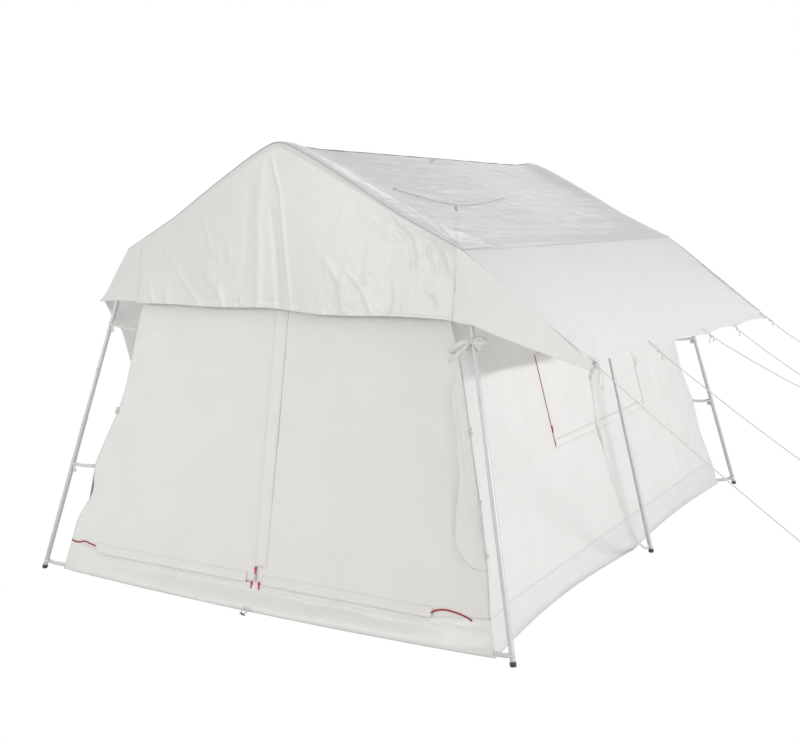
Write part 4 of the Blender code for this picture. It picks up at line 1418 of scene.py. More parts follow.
ceiling_v = steps(0.03, -2.0, -1.0, 0.0, 1.0, 2.0)
ceiling = cloth("inner_ceiling", steps(0.03, -1.0, 0.0, 1.0), ceiling_v, ceiling_surface, ceiling_relief)
finish_cloth(ceiling, canvas, ["inner_roof"])


# Narrow goods: ribbons, straps, knots and bows
curve_steps = 4


def smooth_through(points):
    """A smooth curve through a route's points."""
    points = [Vector(p) for p in points]
    padded = [points[0] * 2 - points[1], *points, points[-1] * 2 - points[-2]]
    out = []
    for a, b, c, d in zip(padded, padded[1:], padded[2:], padded[3:]):
        for i in range(curve_steps):
            t = i / curve_steps
            out.append(0.5 * (2 * b + (c - a) * t + (2 * a - 5 * b + 4 * c - d) * t**2
                              + (3 * b - a - 3 * c + d) * t**3))
    out.append(points[-1])
    return out


tape_thickness = 0.0016


def ribbon(name, points, width, up, thickness=tape_thickness):
    return sweep(name, smooth_through(points), flat_section(width, thickness), up)


def built_object(name, built):
    mesh = bpy.data.meshes.new(name)
    built.to_mesh(mesh)
    built.free()
    return link(name, mesh)


def join(name, parts):
    built = bmesh.new()
    for part in parts:
        built.from_mesh(part.data)
        bpy.data.objects.remove(part)
    return built_object(name, built)


def leg_at(side, end, height):
    foot = Vector((side * foot_x, end * foot_y, 0))
    knee = Vector((side * knee_x, end * arch_y, knee_z))
    return foot.lerp(knee, height / knee_z)


def leg_axis(side, end):
    return (leg_at(side, end, 1.0) - leg_at(side, end, 0.0)).normalized()


loop_sides = 24


def loop_round(name, centre, axis, radius, width):
    """A flat ribbon round a tube."""
    ways = ring_ways(axis, loop_sides)
    ring = [centre + way * radius for way in ways]
    return sweep(name, ring, flat_section(width, tape_thickness), ways, closed=True)


def bow(name, centre, out, width, lobes):
    """A tied bow of flat tape: each lobe, given by its reach across and up, is a loop or a loose tail."""
    out, centre = Vector(out).normalized(), Vector(centre)
    across = Vector((0, 0, 1)).cross(out).normalized()
    up = out.cross(across)
    parts = [knot(name + "_knot", centre + out * 0.008, across, width * 0.40)]
    for kind, reach_across, reach_up in lobes:
        tip = centre + across * reach_across + up * reach_up
        aside = (tip - centre).normalized().cross(out) * width * 0.55
        if kind == "loop":
            route = [
                centre + out * 0.006, centre.lerp(tip, 0.45) + out * 0.020 + aside,
                tip + out * 0.014 + aside * 0.6, tip + out * 0.006 - aside * 0.4,
                centre.lerp(tip, 0.5) + out * 0.005 - aside, centre + out * 0.007,
            ]
        else:
            middle = centre.lerp(tip, 0.5) + out * 0.012 - aside * 0.4
            route = [centre + out * 0.007, middle, tip + out * 0.006]
        parts.append(ribbon(name + "_lobe", route, width, out))
    return join(name, parts)


def corner_at(side, end, z):
    """The corner seam of the inner tent."""
    draw = float(corner_draw(z, side, end))
    return Vector((side * (inner_x(z) - draw), end * (inner_y(z) - seam_draw_back * draw), z))


tie_width = 0.0176
tape_round_leg = leg_radius + 0.0012
# Ties from the corner seams to the legs: side, end, and the heights on the seam and on the leg
frame_ties = (
    (-1, -1, 1.62, 1.655), (-1, -1, 0.705, 0.715), (1, -1, 1.60, 1.665), (1, 1, 0.74, 0.75),
    (1, 1, 1.28, 1.29), (-1, 1, 0.74, 0.75), (-1, 1, 1.28, 1.29),
)
for index, (side, end, wall_z, leg_z) in enumerate(frame_ties):
    name = f"frame_tie_{index}"
    wall, leg, axis = corner_at(side, end, wall_z), leg_at(side, end, leg_z), leg_axis(side, end)
    way = (leg - wall).normalized()
    up = axis.cross(way).normalized()
    if up.dot(Vector((0, end, 0))) < 0:
        up.negate()
    sag = Vector((0, 0, -0.006))
    parts = [loop_round(name + "_loop", leg, axis, tape_round_leg, tie_width)]
    for shift in (-1, 1):
        route = [
            wall - way * 0.012 + up * 0.002 * shift + axis * 0.004 * shift,
            wall.lerp(leg, 0.5) + sag + axis * 0.003 * shift,
            leg - way * 0.004 + up * tape_round_leg * shift,
        ]
        parts.append(ribbon(name + "_band", route, tie_width, up))
    parts.append(knot(name + "_knot", leg - way * 0.022 + up * 0.006, axis, 0.007))
    for turn in (-0.35, 0.45):
        start = leg - way * 0.020 + up * 0.012
        down = Vector((turn * 0.5 * side, 0, -1))
        route = [start, start + down * 0.022 + up * 0.012, start + down * 0.050 + up * 0.006]
        parts.append(ribbon(name + "_tail", route, 0.012, up))
    as_webbing(join(name, parts))

bow_at = leg_at(1, -1, 1.665) + Vector((-0.004, -leg_radius - 0.004, 0))
bow_lobes = (
    ("loop", -0.105, -0.060), ("tail", -0.125, -0.115), ("loop", 0.075, 0.002), ("tail", 0.055, -0.050)
)
as_webbing(bow("front_right_bow", bow_at, (0.25, -1, 0.1), 0.026, bow_lobes))


# Straps from the tent's lower corners to the legs' feet, and the feet's plugs
foot_strap = 0.026
strap_corner_height = 0.03
strap_leg_height = 0.055
for side_name, side in both_sides.items():
    for end_name, end in both_ends.items():
        name = f"foot_strap_{end_name}_{side_name}"
        corner, leg = corner_at(side, end, strap_corner_height), leg_at(side, end, strap_leg_height)
        axis = leg_axis(side, end)
        way = (leg - corner).normalized()
        up = Vector((-way.y, way.x, 0)).normalized() * (1 if side * end < 0 else -1)
        middle = corner.lerp(leg, 0.5) - Vector((0, 0, 0.006))
        band = ribbon(name + "_band", [corner - way * 0.03, middle, leg - way * leg_radius], foot_strap, up)
        ring = loop_round(name + "_ring", leg, axis, tape_round_leg, foot_strap * 0.8)
        as_webbing(join(name, [band, ring]))

sharp_edge = math.radians(40)
plug_height = 0.026
plug_sides = 24
plug_profile = (
    (0.0150, 0.0), (0.0176, 0.0022), (0.0180, 0.008), (0.0176, 0.022), (0.0168, plug_height),
    (0.0152, plug_height),
)


def foot_plug(name, side, end):
    """A moulded cap pushed over the end of a leg, its rim cut level with the ground."""
    axis, foot = leg_axis(side, end), leg_at(side, end, 0.0)
    built = bmesh.new()
    rings = []
    for radius, height in plug_profile:
        places = [foot + axis * height + way * radius for way in ring_ways(axis, plug_sides)]
        rings.append([built.verts.new((p.x, p.y, max(p.z, 0.0002))) for p in places])
    for low, high in zip(rings, rings[1:]):
        for k in range(plug_sides):
            n = (k + 1) % plug_sides
            built.faces.new((low[k], low[n], high[n], high[k]))
    built.faces.new(list(reversed(rings[0])))
    built.faces.new(rings[-1])
    bmesh.ops.recalc_face_normals(built, faces=built.faces)
    plug = built_object(name, built)
    plug.data.shade_smooth()
    plug.data.set_sharp_from_angle(angle=sharp_edge)
    return plug


for side_name, side in both_sides.items():
    for end_name, end in (("front", -1), ("middle", 0), ("rear", 1)):
        plug = foot_plug(f"foot_plug_{end_name}_{side_name}", side, end)
        dress(plug, dark_plug, "root")


# Rows of small equal pieces: stitches, zip teeth and net strands
def row_tree():
    """Lays six-sided rods along a path, evenly spaced, either lying along it or all in one direction."""
    tree = bpy.data.node_groups.new("rods_along_a_path", "GeometryNodeTree")
    face = tree.interface
    face.new_socket("Path", in_out="INPUT", socket_type="NodeSocketGeometry")
    kinds = {
        "Spacing": "Float", "Thickness": "Float", "Length": "Float", "Lying": "Vector", "Follow path": "Bool",
        "Finish": "Material",
    }
    for label, kind in kinds.items():
        face.new_socket(label, in_out="INPUT", socket_type="NodeSocket" + kind)
    face.new_socket("Rods", in_out="OUTPUT", socket_type="NodeSocketGeometry")
    given = tree.nodes.new("NodeGroupInput").outputs
    curve = add_node(tree, "GeometryNodeMeshToCurve", (given["Path"], "Mesh")).outputs["Curve"]
    points = add_node(
        tree, "GeometryNodeCurveToPoints", (curve, "Curve"), (given["Spacing"], "Length"), mode="LENGTH"
    )
    rod = add_node(tree, "GeometryNodeMeshCylinder", Vertices=6, Radius=0.5, Depth=1.0)
    choose = add_node(
        tree, "GeometryNodeSwitch", (given["Follow path"], "Switch"), (given["Lying"], "False"),
        (points.outputs["Tangent"], "True"), input_type="VECTOR",
    )
    turn = add_node(tree, "FunctionNodeAlignRotationToVector", (choose.outputs["Output"], "Vector"), axis="Z")
    wires = [(given["Thickness"], "X"), (given["Thickness"], "Y"), (given["Length"], "Z")]
    size = add_node(tree, "ShaderNodeCombineXYZ", *wires)
    wires = [
        (points.outputs["Points"], "Points"), (rod.outputs["Mesh"], "Instance"),
        (turn.outputs["Rotation"], "Rotation"), (size.outputs["Vector"], "Scale"),
    ]
    placed = add_node(tree, "GeometryNodeInstanceOnPoints", *wires)
    real = add_node(tree, "GeometryNodeRealizeInstances", (placed.outputs["Instances"], "Geometry"))
    wires = [(real.outputs["Geometry"], "Geometry"), (given["Finish"], "Material")]
    finish = add_node(tree, "GeometryNodeSetMaterial", *wires)
    add_node(tree, "NodeGroupOutput", (finish.outputs["Geometry"], "Rods"))
    return tree


rods_along_a_path = row_tree()


def rods(name, paths, spacing, thickness, length, material, lying=None):
    """Rods along one or more paths, as one plain mesh."""
    verts, edges = [], []
    for points in paths:
        first = len(verts)
        verts += [tuple(p) for p in points]
        edges += [(first + i, first + i + 1) for i in range(len(points) - 1)]
    mesh = bpy.data.meshes.new(name + "_path")
    mesh.from_pydata(verts, edges, [])
    carrier = link(name + "_path", mesh)
    modifier = carrier.modifiers.new("rods", "NODES")
    modifier.node_group = rods_along_a_path
    values = {
        "Spacing": spacing, "Thickness": thickness, "Length": length, "Finish": material,
        "Follow path": lying is None, "Lying": tuple(lying or (0.0, 0.0, 1.0)),
    }
    for item in rods_along_a_path.interface.items_tree:
        if item.in_out == "INPUT" and item.name in values:
            modifier[item.identifier] = values[item.name]
    depsgraph = bpy.context.evaluated_depsgraph_get()
    depsgraph.update()
    made = bpy.data.meshes.new_from_object(carrier.evaluated_get(depsgraph))
    bpy.data.objects.remove(carrier)
    made.shade_smooth()
    made.set_sharp_from_angle(angle=sharp_edge)
    return link(name, made)


# Places on the walls, a little way outside their middle
end_out = Vector((0, -1, end_lean)).normalized()


def front_at(x, z, lift):
    return Vector((x, -inner_y(z), z)) + end_out * lift


def side_out(direction):
    return Vector((direction, 0, side_lean)).normalized()


def side_at(direction, y, z, lift=0.0):
    return Vector((direction * inner_x(z), y, z)) + side_out(direction) * lift


def front_v(z):
    return (z - band_front) / (door_top - band_front)


# Door placket, over the door's zip: sewn to the right leaf and loose on its left
placket_foot, placket_top = 0.252, 1.945
# The placket's two sides, each across the tent at its foot and at its top
placket_left, placket_right = (-0.014, -0.034), (0.070, 0.060)
slider_room = 0.0112
sewn_down = 0.0011


def placket_x(u, v):
    return mix(mix(*placket_left, v), mix(*placket_right, v), u)


def placket_surface(u, v):
    z = mix(placket_foot, placket_top, v)
    height = (z - band_front + leaf_lap) / (door_top - band_front + leaf_lap)
    return end_panel(-1.0)(placket_x(u, v) / panel_half(z), height)


def placket_relief(u, v):
    z = mix(placket_foot, placket_top, v)
    wall = front_wall_relief(placket_x(u, v) / panel_half(z), front_v(z))
    room = ease(u / 0.16) * ease((1 - u) / 0.72)
    ripple = 0.0010 * noise(u * 2, z * 21, 201) + 0.0006 * noise(u * 5, z * 60, 202)
    return np.maximum(wall, 0) + sewn_down + (slider_room - sewn_down) * room + ripple * hump(u)


placket_u, placket_v = steps(0.05, 0.0, 1.0), steps(0.008, 0.0, 1.0)
placket = cloth("door_placket", placket_u, placket_v, placket_surface, placket_relief, wall=0.0008)
finish_cloth(placket, canvas, (), "front_door_right")


# Storm flap over each hem zip: sewn above it, puckered, and standing off the slider's way
flap_rise = 0.045
flap_dip = 0.012
hem_flaps = {"left": (-1.34, -0.07), "right": (0.05, 1.22)}


def flap_place(x, v):
    z = band_end(x) + mix(flap_rise, -flap_dip, v)
    return x, -inner_y(z), z


def hem_flap_relief(start, end):
    def lift(x, v):
        z = flap_place(x, v)[2]
        wall = front_wall_relief(x / panel_half(z), np.maximum(front_v(z), 0))
        pucker = 0.0016 * noise(x * 34, v * 1.5, 205) + 0.0008 * noise(x * 80, v * 3, 206)
        ends = ease((x - start) / 0.03) * ease((end - x) / 0.03)
        room = slider_room * ease((v - 0.1) / 0.6) * mix(0.4, 1.0, ends)
        return np.maximum(wall, 0) * (1 - v * 0.5) + 0.0018 + room + pucker
    return lift


for side, (start, end) in hem_flaps.items():
    flap_x, flap_v = steps(0.008, start, end), steps(0.11, 0.0, 1.0)
    piece = cloth(f"hem_flap_{side}", flap_x, flap_v, flap_place, hem_flap_relief(start, end), side=-1)
    finish_cloth(piece, canvas, (), f"front_door_{side}")


# Zips: tapes, and teeth in rows
tooth_pitch = 0.0032
tape_wall = 0.0006
tape_lift = 0.0011
door_tape_width = 0.013
hem_tape_width = 0.005
up_the_front = (0, end_lean, 1)
door_zip_foot = 0.168
door_zip_top = 1.93
window_zip_y = 0.8765
window_zips = (
    ("front", -window_zip_y, 0.009, red_tape, red_tape, "zip_red"),
    ("rear", window_zip_y, 0.015, webbing, thread, "webbing"),
)


def tape(name, points, width, up, body, material):
    return dress(sweep(name, points, flat_section(width, tape_wall), up), material, body)


def teeth(name, line, thickness, length, lying, body, material=red_zip):
    return dress(rods(name, [line], tooth_pitch, thickness, length, material, lying), material, body)


for side, sign in both_sides.items():
    leaf_body = f"front_door_{side}"
    edge = [front_at(sign * 0.008, z, tape_lift) for z in steps(0.06, door_zip_foot, door_zip_top)]
    tape(f"door_zip_tape_{side}", edge, door_tape_width, end_out, leaf_body, webbing)
    teeth_line = [front_at(sign * 0.0018, z, 0.0009) for z in (door_zip_foot + 0.002, door_zip_top)]
    teeth(f"door_zip_teeth_{side}", teeth_line, 0.0014, 0.0026, (1, 0, 0), leaf_body)
    xs = steps(0.04, sign * 0.052, sign * (max(abs(s) for s in hem_flaps[side]) - 0.01))
    hem_line = [front_at(x, float(band_end(x)) - 0.0085, 0.0016) for x in xs]
    tape(f"hem_zip_tape_{side}", hem_line, hem_tape_width, end_out, "root", red_tape)
    teeth(f"hem_zip_teeth_{side}", hem_line, 0.0014, 0.0038, up_the_front, "root")
    for edge_name, edge_y, edge_width, tape_finish, coil_finish, slot in window_zips:
        line_z = steps(0.05, window_sill + 0.015, window_head - 0.01)
        line = [side_at(sign, edge_y, z, 0.0014) for z in line_z]
        name = f"{side}_window_zip_tape_{edge_name}"
        tape(name, line, edge_width, side_out(sign), "root", tape_finish)
        name = f"{side}_window_zip_teeth_{edge_name}"
        teeth(name, line, 0.0016, 0.0050, (0, 1, 0), "root", coil_finish)

zip_ends = {
    "left": (
        (-1.565, 0.200), (-1.515, 0.193), (-1.480, 0.199), (-1.440, 0.206), (-1.400, 0.199), (-1.330, 0.186)
    ),
    "right": (
        (1.205, 0.166), (1.240, 0.190), (1.290, 0.203), (1.345, 0.202), (1.400, 0.194), (1.440, 0.184),
        (1.468, 0.172),
    ),
}
for side, points in zip_ends.items():
    route = smooth_through([front_at(x, z, 0.006) for x, z in points])
    bend_with_leaf(tape(f"hem_zip_end_{side}", route, 0.009, end_out, None, red_tape), side)
    coil = [p + end_out * 0.0006 for p in route]
    bend_with_leaf(teeth(f"hem_zip_end_teeth_{side}", coil, 0.0016, 0.0045, up_the_front, None), side)


# Window nets behind the covers, and ribbons that hold a rolled cover
net_pitch = 0.009
net_yarn_width = 0.0009
net_inside = -0.0022
ribbon_places = (-0.62, -0.42, 0.0, 0.42, 0.62)
for side, sign in both_sides.items():
    rise = side_at(sign, 0, window_head) - side_at(sign, 0, window_sill)
    middle_z = (window_sill + window_head) / 2
    level = [side_at(sign, y, middle_z, net_inside) for y in (-window_half, window_half)]
    steep = [side_at(sign, 0, z, net_inside - net_yarn_width / 2) for z in (window_sill, window_head)]
    yarn = (net_pitch, net_yarn_width)
    upright = rods(f"{side}_net_upright", [level], *yarn, rise.length, net_yarn, rise.normalized())
    across = rods(f"{side}_net_across", [steep], *yarn, 2 * window_half, net_yarn, (0, 1, 0))
    dress(join(f"{side}_window_net", [upright, across]), net_yarn, "root")
    ties = []
    for number, y in enumerate(ribbon_places):
        length, bend = ((0.055, -0.006), (0.075, 0.010))[number % 2]
        places = (
            (0.0, 0.012, 0.002), (bend * 0.3, -0.006, 0.013), (bend, -length * 0.6, 0.016),
            (bend * 0.4, -length, 0.012),
        )
        drop = [side_at(sign, y + aside, window_head + above, lift) for aside, above, lift in places]
        ties.append(ribbon(f"{side}_roll_tie", drop, 0.012, side_out(sign), 0.001))
        ties.append(knot(f"{side}_roll_tie_knot", drop[1] + side_out(sign) * 0.003, (0, 1, 0), 0.0045))
    as_webbing(join(f"{side}_window_ties", ties))

# Small ribbon and loops on the right wall and along the front corners
stay = [side_at(1, 0.93, 1.245, 0.006), side_at(1, 0.915, 1.215, 0.016), side_at(1, 0.885, 1.185, 0.008)]
as_webbing(ribbon("right_wall_stay", stay, 0.010, side_out(1), 0.001))


def corner_loop(name, side, end, heights, bulge):
    """A loop of tape between knots on a corner seam."""
    out = Vector((side * 0.5, end, 0)).normalized()
    top, foot = (corner_at(side, end, z) + out * 0.006 for z in heights)
    middle = top.lerp(foot, 0.5) + out * bulge - Vector((side * 0.012, 0, 0))
    parts = [knot(name + "_knot", p, (side, -end, 0.3), 0.010, 3.0) for p in (top, foot)]
    if bulge:
        route = [top, top.lerp(middle, 0.6) + out * 0.006, middle, foot]
        parts.append(ribbon(name + "_tape", route, 0.014, out))
    return as_webbing(join(name, parts))


corner_loop("front_right_corner_loop", 1, -1, (0.80, 0.52), 0.020)
corner_loop("front_right_corner_toggle", 1, -1, (1.18, 1.155), 0.0)
corner_loop("front_left_corner_toggle", -1, -1, (1.09, 1.068), 0.0)


# Loose strip along the front right corner seam, drawn up at its knots
strip_edge_heights = (0.44, 0.50, 0.564, 0.72, 0.944, 1.18, 1.35, 1.52)
strip_edge_x = (1.470, 1.391, 1.330, 1.322, 1.338, 1.285, 1.238, 1.262)


def strip_place(u, z):
    seam_x = inner_x(z) - corner_draw(z, 1, -1) - strip_gap
    inner = sum(np.interp(z + s, strip_edge_heights, strip_edge_x) for s in (-0.03, 0.0, 0.03)) / 3
    inner = np.minimum(inner, seam_x - strip_narrowest)
    x = mix(seam_x, inner, u)
    share = x / panel_half(z)
    draw = corner_draw(z, 1, -1) * np.abs(share) ** 5
    return x, -(inner_y(z) - draw * seam_draw_back), z


def strip_relief(u, z):
    x = strip_place(u, z)[0]
    wall = front_wall_relief(x / panel_half(z), front_v(z))
    roll = 0.011 * ease(u / 0.35) * (0.65 + 0.35 * noise(z * 9, u, 211))
    return np.maximum(wall, 0) + 0.0016 + roll + 0.003 * noise(u * 2, z * 26, 212) * hump(u * 0.7)


strip_z = steps(0.008, 0.45, 1.52)
corner_strip = cloth(
    "front_right_corner_strip", steps(0.08, 0.0, 1.0), strip_z, strip_place, strip_relief, side=-1
)
dress(corner_strip, canvas, None)
bend_with_leaf(corner_strip, "right")


# Peg loops at the foot of the end walls, each with its dark toggle: across, outwards and up
peg_loop = (
    (-0.016, 0.0, 0.030), (-0.020, 0.012, 0.012), (-0.014, 0.045, 0.004), (0.004, 0.062, 0.005),
    (0.018, 0.042, 0.006), (0.014, 0.012, 0.012), (0.010, 0.0, 0.030),
)
toggle_radius = 0.0042
peg_toggle = ((0.002, 0.058, 0.010), (0.020, 0.072, 0.007), (0.038, 0.070, 0.006))
for end_name, end in both_ends.items():
    edge_y = end * (inner_half_length + end_bow)
    loop, toggle = ([(x, edge_y + end * out, z) for x, out, z in way] for way in (peg_loop, peg_toggle))
    as_webbing(ribbon(f"peg_loop_{end_name}", loop, 0.012, (0, end * 0.3, 1)))
    toggle_rod = sweep(f"peg_toggle_{end_name}", smooth_through(toggle), round_section(toggle_radius))
    dress(toggle_rod, dark_plug, "root")


# Awning hem: eyelets, webbing patches and stitches
eyelet_inset = 0.019
eyelet_sides = 20
awning_length = 0.99
patch_size = 0.055
corner_inset = 0.018
eyelet_lift = 0.0035
patch_lift = 0.0036
stitch_lift = 0.0034


def eyelet(name, centre, axis, radius=0.0095, wire=0.0022):
    ring = [centre + way * radius for way in ring_ways(axis, eyelet_sides)]
    return sweep(name, ring, round_section(wire, 8), axis, closed=True)


awning_up = Vector((math.sin(awning_angle), 0, math.cos(awning_angle)))
eyelet_v = 1 - eyelet_inset / awning_length
patch_v = np.linspace(0.93, 0.997, 5)
patches, rings = [], []
for guy_y in guy_points:
    inwards = -np.sign(guy_y) * corner_inset if abs(guy_y) == fly_half else 0.0
    rings.append(eyelet("awning_eyelet", awning_place(guy_y + inwards, eyelet_v, eyelet_lift), awning_up))
    patch_line = [awning_place(guy_y + inwards * 1.6, v, patch_lift) for v in patch_v]
    patches.append(sweep("awning_patch", patch_line, flat_section(patch_size, 0.0014), awning_up))
as_webbing(join("awning_patches", patches))
dress(join("awning_eyelets", rings), plated_steel, "root")

stitch_pitch = 0.0075
stitch_width = 0.0010
stitch_length = 0.0048


def stitches(name, paths, body):
    return dress(rods(name, paths, stitch_pitch, stitch_width, stitch_length, thread), thread, body)


hem_v = 1 - hem_width / awning_length
hem_y = steps(0.05, *guy_points)
side_seam_v = steps(0.05, 0.06, 0.97)
seam_paths = [[awning_place(y, v, stitch_lift) for y in hem_y] for v in (hem_v, 0.993)]
seam_paths.append([awning_place(-fly_half + 0.008, v, 0.0026) for v in side_seam_v])
stitches("awning_stitches", seam_paths, "root")


def placket_stitch(u, v):
    lift = float(placket_relief(np.array(u), np.array(v)))
    height = float(mix(placket_foot, placket_top, v))
    return front_at(float(placket_x(u, v)), height, 0.0012) + end_out * lift


seam_paths = [[placket_stitch(u, v) for v in steps(0.02, 0.01, 0.99)] for u in (0.06, 0.90)]
stitches("placket_stitches", seam_paths, "front_door_right")


def hem_flap_stitch(x):
    wall = float(front_wall_relief(x / panel_half(side_foot), np.array(front_v(side_foot))))
    return front_at(x, float(band_end(x)) + flap_rise - 0.004, 0.0032 + max(wall, 0))


for side, (start, end) in hem_flaps.items():
    seam_line = [hem_flap_stitch(x) for x in steps(0.02, start + 0.01, end - 0.01)]
    stitches(f"hem_flap_stitches_{side}", [seam_line], f"front_door_{side}")


# Hitches that hold the guy ropes to the awning, with the tails that hang from them
tail_section = round_section(0.0026, 8)
hitch_tails = {
    "guy_rope_front": ((0.030, -0.012, 0.110), (-0.004, 0.016, 0.085)),
    "guy_rope_2": ((0.020, 0.010, 0.050),),
    "guy_rope_3": ((-0.010, 0.006, 0.045), (0.016, 0.004, 0.030)),
    "guy_rope_4": ((0.014, 0.008, 0.045),),
    "guy_rope_rear": ((0.022, 0.012, 0.040),),
}
for (name, tails), y in zip(hitch_tails.items(), guy_points):
    route = rope_route(y, *rope_ends[name])
    way = (route[2] - route[0]).normalized()
    tied = route[0] + way * 0.016
    parts = [knot(name + "_turns", tied, way, 0.0085, 3.0)]
    for shift_x, shift_y, drop in tails:
        end = tied + Vector((shift_x, shift_y, -drop))
        middle = tied.lerp(end, 0.5) + Vector((shift_x * 0.5, shift_y * 0.8, 0.006))
        parts.append(sweep(name + "_tail", smooth_through([tied, middle, end]), tail_section))
        parts.append(knot(name + "_tail_knot", end, (0, 0.2, 1), 0.0045))
    dress(join(name + "_hitch", parts), rope_braid, "root")


# Roof tabs, and the skin's one bright standing fold
roof_up = (0.44, 0, 0.9)
tab_width = 0.016
roof_tabs = (((0.100, -0.14), (0.012, 0.075)), ((0.79, -1.06), (0.735, -0.96)))
for number, ((x0, y0), (x1, y1)) in enumerate(roof_tabs):
    tab_line = []
    for t in np.linspace(0, 1, 9):
        tab_line.append(on_roof(mix(x0, x1, t), mix(y0, y1, t), 0.003 + 0.004 * math.sin(math.pi * t)))
    as_webbing(sweep(f"roof_tab_{number}", tab_line, flat_section(tab_width, 0.0012), roof_up))
arc = (
    (0.515, -1.389), (0.59, -1.285), (0.652, -1.167), (0.695, -0.996), (0.714, -0.792), (0.70, -0.60),
    (0.682, -0.446), (0.65, -0.20), (0.616, 0.014),
)
arc_line = [on_roof(p.x, p.y, 0.002) for p in smooth_through([(x, y, 0) for x, y in arc])]
arc_section = [(-0.007, -0.001), (0.007, -0.001), (0.0012, 0.0062), (-0.0012, 0.0062)]
dress(sweep("roof_skin_fold", arc_line, arc_section, roof_up), gable_sheet, "root")


# Storm strap: flat webbing from the front guy corner to the middle leg's foot, on the frame's route
strap_width = 0.020
strap_thickness = 0.0016
strap_seam = 0.0005
strap_twist_start, strap_twist_run = 10, 12
strap_low, strap_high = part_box("storm_strap")
strap_top = Vector((strap_high.x - strap_width / 2, strap_low.y + strap_thickness / 2, strap_high.z))
strap_foot = leg_at(1, 0, 0.05) - Vector((0, leg_radius + strap_seam, 0))
strap_points = [
    strap_top, strap_top - Vector((0.001, -0.002, 0.03)), (2.003, -1.850, 1.400), (1.992, -1.775, 1.280),
    (1.979, -1.683, 1.159), (1.954, -1.501, 0.985), (1.925, -1.285, 0.790), (1.895, -1.067, 0.606),
    (1.866, -0.850, 0.440), (1.838, -0.630, 0.292), (1.808, -0.410, 0.170), (1.778, -0.200, 0.085),
    strap_foot - Vector((-0.004, 0.05, -0.004)), strap_foot,
]
strap_route = smooth_through(strap_points)
strap_faces = []
for i, point in enumerate(strap_route):
    before, after = strap_route[max(i - 1, 0)], strap_route[min(i + 1, len(strap_route) - 1)]
    tangent = (after - before).normalized()
    level = tangent.cross(Vector((0, 0, 1))).normalized()
    twist = math.pi * float(ease((i - strap_twist_start) / strap_twist_run))
    strap_faces.append(Matrix.Rotation(twist, 3, tangent) @ level)
strap = sweep("storm_strap_webbing", strap_route, flat_section(strap_width, strap_thickness), strap_faces)
dress(strap, webbing, "root", ["storm_strap"])
strap_hold = awning_place(guy_points[0] + corner_inset, eyelet_v, -0.002)
hanger_middle = strap_top.lerp(strap_hold, 0.5) + Vector((0.008, -0.006, 0))
hanger = [strap_top - Vector((0, 0, 0.014)), hanger_middle, strap_hold]
as_webbing(ribbon("storm_strap_hanger", hanger, strap_width * 0.9, Vector((0, -1, 0))))
rope_exit = rope_route(guy_points[0], *rope_ends["guy_rope_front"])[0]
dress(eyelet("front_guy_ring", rope_exit, Vector((0.3, 1, 0)), 0.015, 0.0024), plated_steel, "root")
strap_knot = as_webbing(knot("storm_strap_knot", strap_top - Vector((0, 0, 0.02)), (0, 0.1, -1), 0.009))


# Frame: the solids stay, with a coated finish; sliders and buttons too
for name, node in nodes.items():
    if name.startswith(("lower_leg", "upper_leg", "rafter", "ridge_", "eave_bar")):
        finish = tube_paint
    elif name.startswith("leg_button"):
        finish = plated_steel
    elif "slider" in name:
        finish = red_zip
    else:
        continue
    node.data.materials.clear()
    node.data.materials.append(finish)


# Stage: a pale floor and plain soft light
pure_white = (1.0, 1.0, 1.0, 1.0)
floor_gap = 0.002


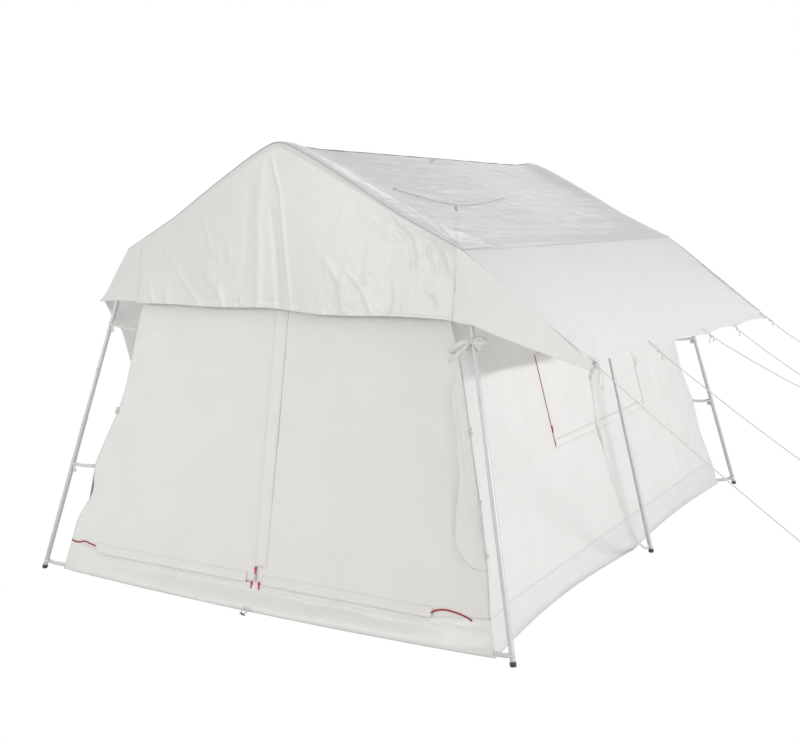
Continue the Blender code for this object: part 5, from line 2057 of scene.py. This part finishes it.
def stage_floor(size):
    """A pale floor that the camera sees as white."""
    corners = [(-size, -size, 0), (size, -size, 0), (size, size, 0), (-size, size, 0)]
    mesh = bpy.data.meshes.new("studio_floor")
    mesh.from_pydata(corners, [], [(0, 1, 2, 3)])
    floor = link("studio_floor", mesh)
    floor.location.z = -floor_gap
    material, tree, shader = new_material("studio_white", (0.88, 0.88, 0.88), 0.9)
    seen = add_node(tree, "ShaderNodeEmission", Color=pure_white)
    path = tree.nodes.new("ShaderNodeLightPath").outputs
    wires = [(path["Is Camera Ray"], "Fac"), (shader.outputs["BSDF"], 1), (seen.outputs["Emission"], 2)]
    blend = add_node(tree, "ShaderNodeMixShader", *wires)
    tree.links.new(blend.outputs["Shader"], tree.nodes["Material Output"].inputs["Surface"])
    floor.data.materials.append(material)


def studio_world(strength):
    """White light of one strength, whose background shows as plain white."""
    world = bpy.data.worlds.new("studio_world")
    bpy.context.scene.world = world
    world.use_nodes = True
    tree = world.node_tree
    light = tree.nodes["Background"]
    light.inputs["Color"].default_value = pure_white
    light.inputs["Strength"].default_value = strength
    white = add_node(tree, "ShaderNodeBackground", Color=pure_white)
    path = tree.nodes.new("ShaderNodeLightPath").outputs
    seen = path["Is Camera Ray"]
    for ray in ("Is Glossy Ray", "Is Transmission Ray"):
        either = add_node(tree, "ShaderNodeMath", (seen, 0), (path[ray], 1), operation="MAXIMUM")
        seen = either.outputs["Value"]
    wires = [(seen, "Fac"), (light.outputs["Background"], 1), (white.outputs["Background"], 2)]
    blend = add_node(tree, "ShaderNodeMixShader", *wires)
    tree.links.new(blend.outputs["Shader"], tree.nodes["World Output"].inputs["Surface"])


def soft_lamp(name, place, target, size, power, colour=(1.0, 1.0, 1.0)):
    data = bpy.data.lights.new(name, "AREA")
    data.shape = "RECTANGLE"
    data.size, data.size_y = size
    data.energy = power
    data.color = colour
    lamp = bpy.data.objects.new(name, data)
    lamp.location = place
    lamp.rotation_euler = (Vector(target) - Vector(place)).to_track_quat("-Z", "Y").to_euler()
    bpy.context.scene.collection.objects.link(lamp)


bpy.context.scene.view_settings.view_transform = "Standard"
stage_floor(30.0)
studio_world(0.62)
soft_lamp("key_from_the_right", (11.0, -1.2, 3.2), (0, 0, 1.2), (9.0, 0.35), 455, (0.95, 0.965, 1.0))
soft_lamp("fill_from_the_front", (-3.8, -11.0, 4.0), (0, -1, 1.2), (3.0, 3.0), 295)
soft_lamp("sheen_from_behind", (-4.0, 12.0, 6.5), (0, 0, 2.4), (5.0, 3.0), 30)
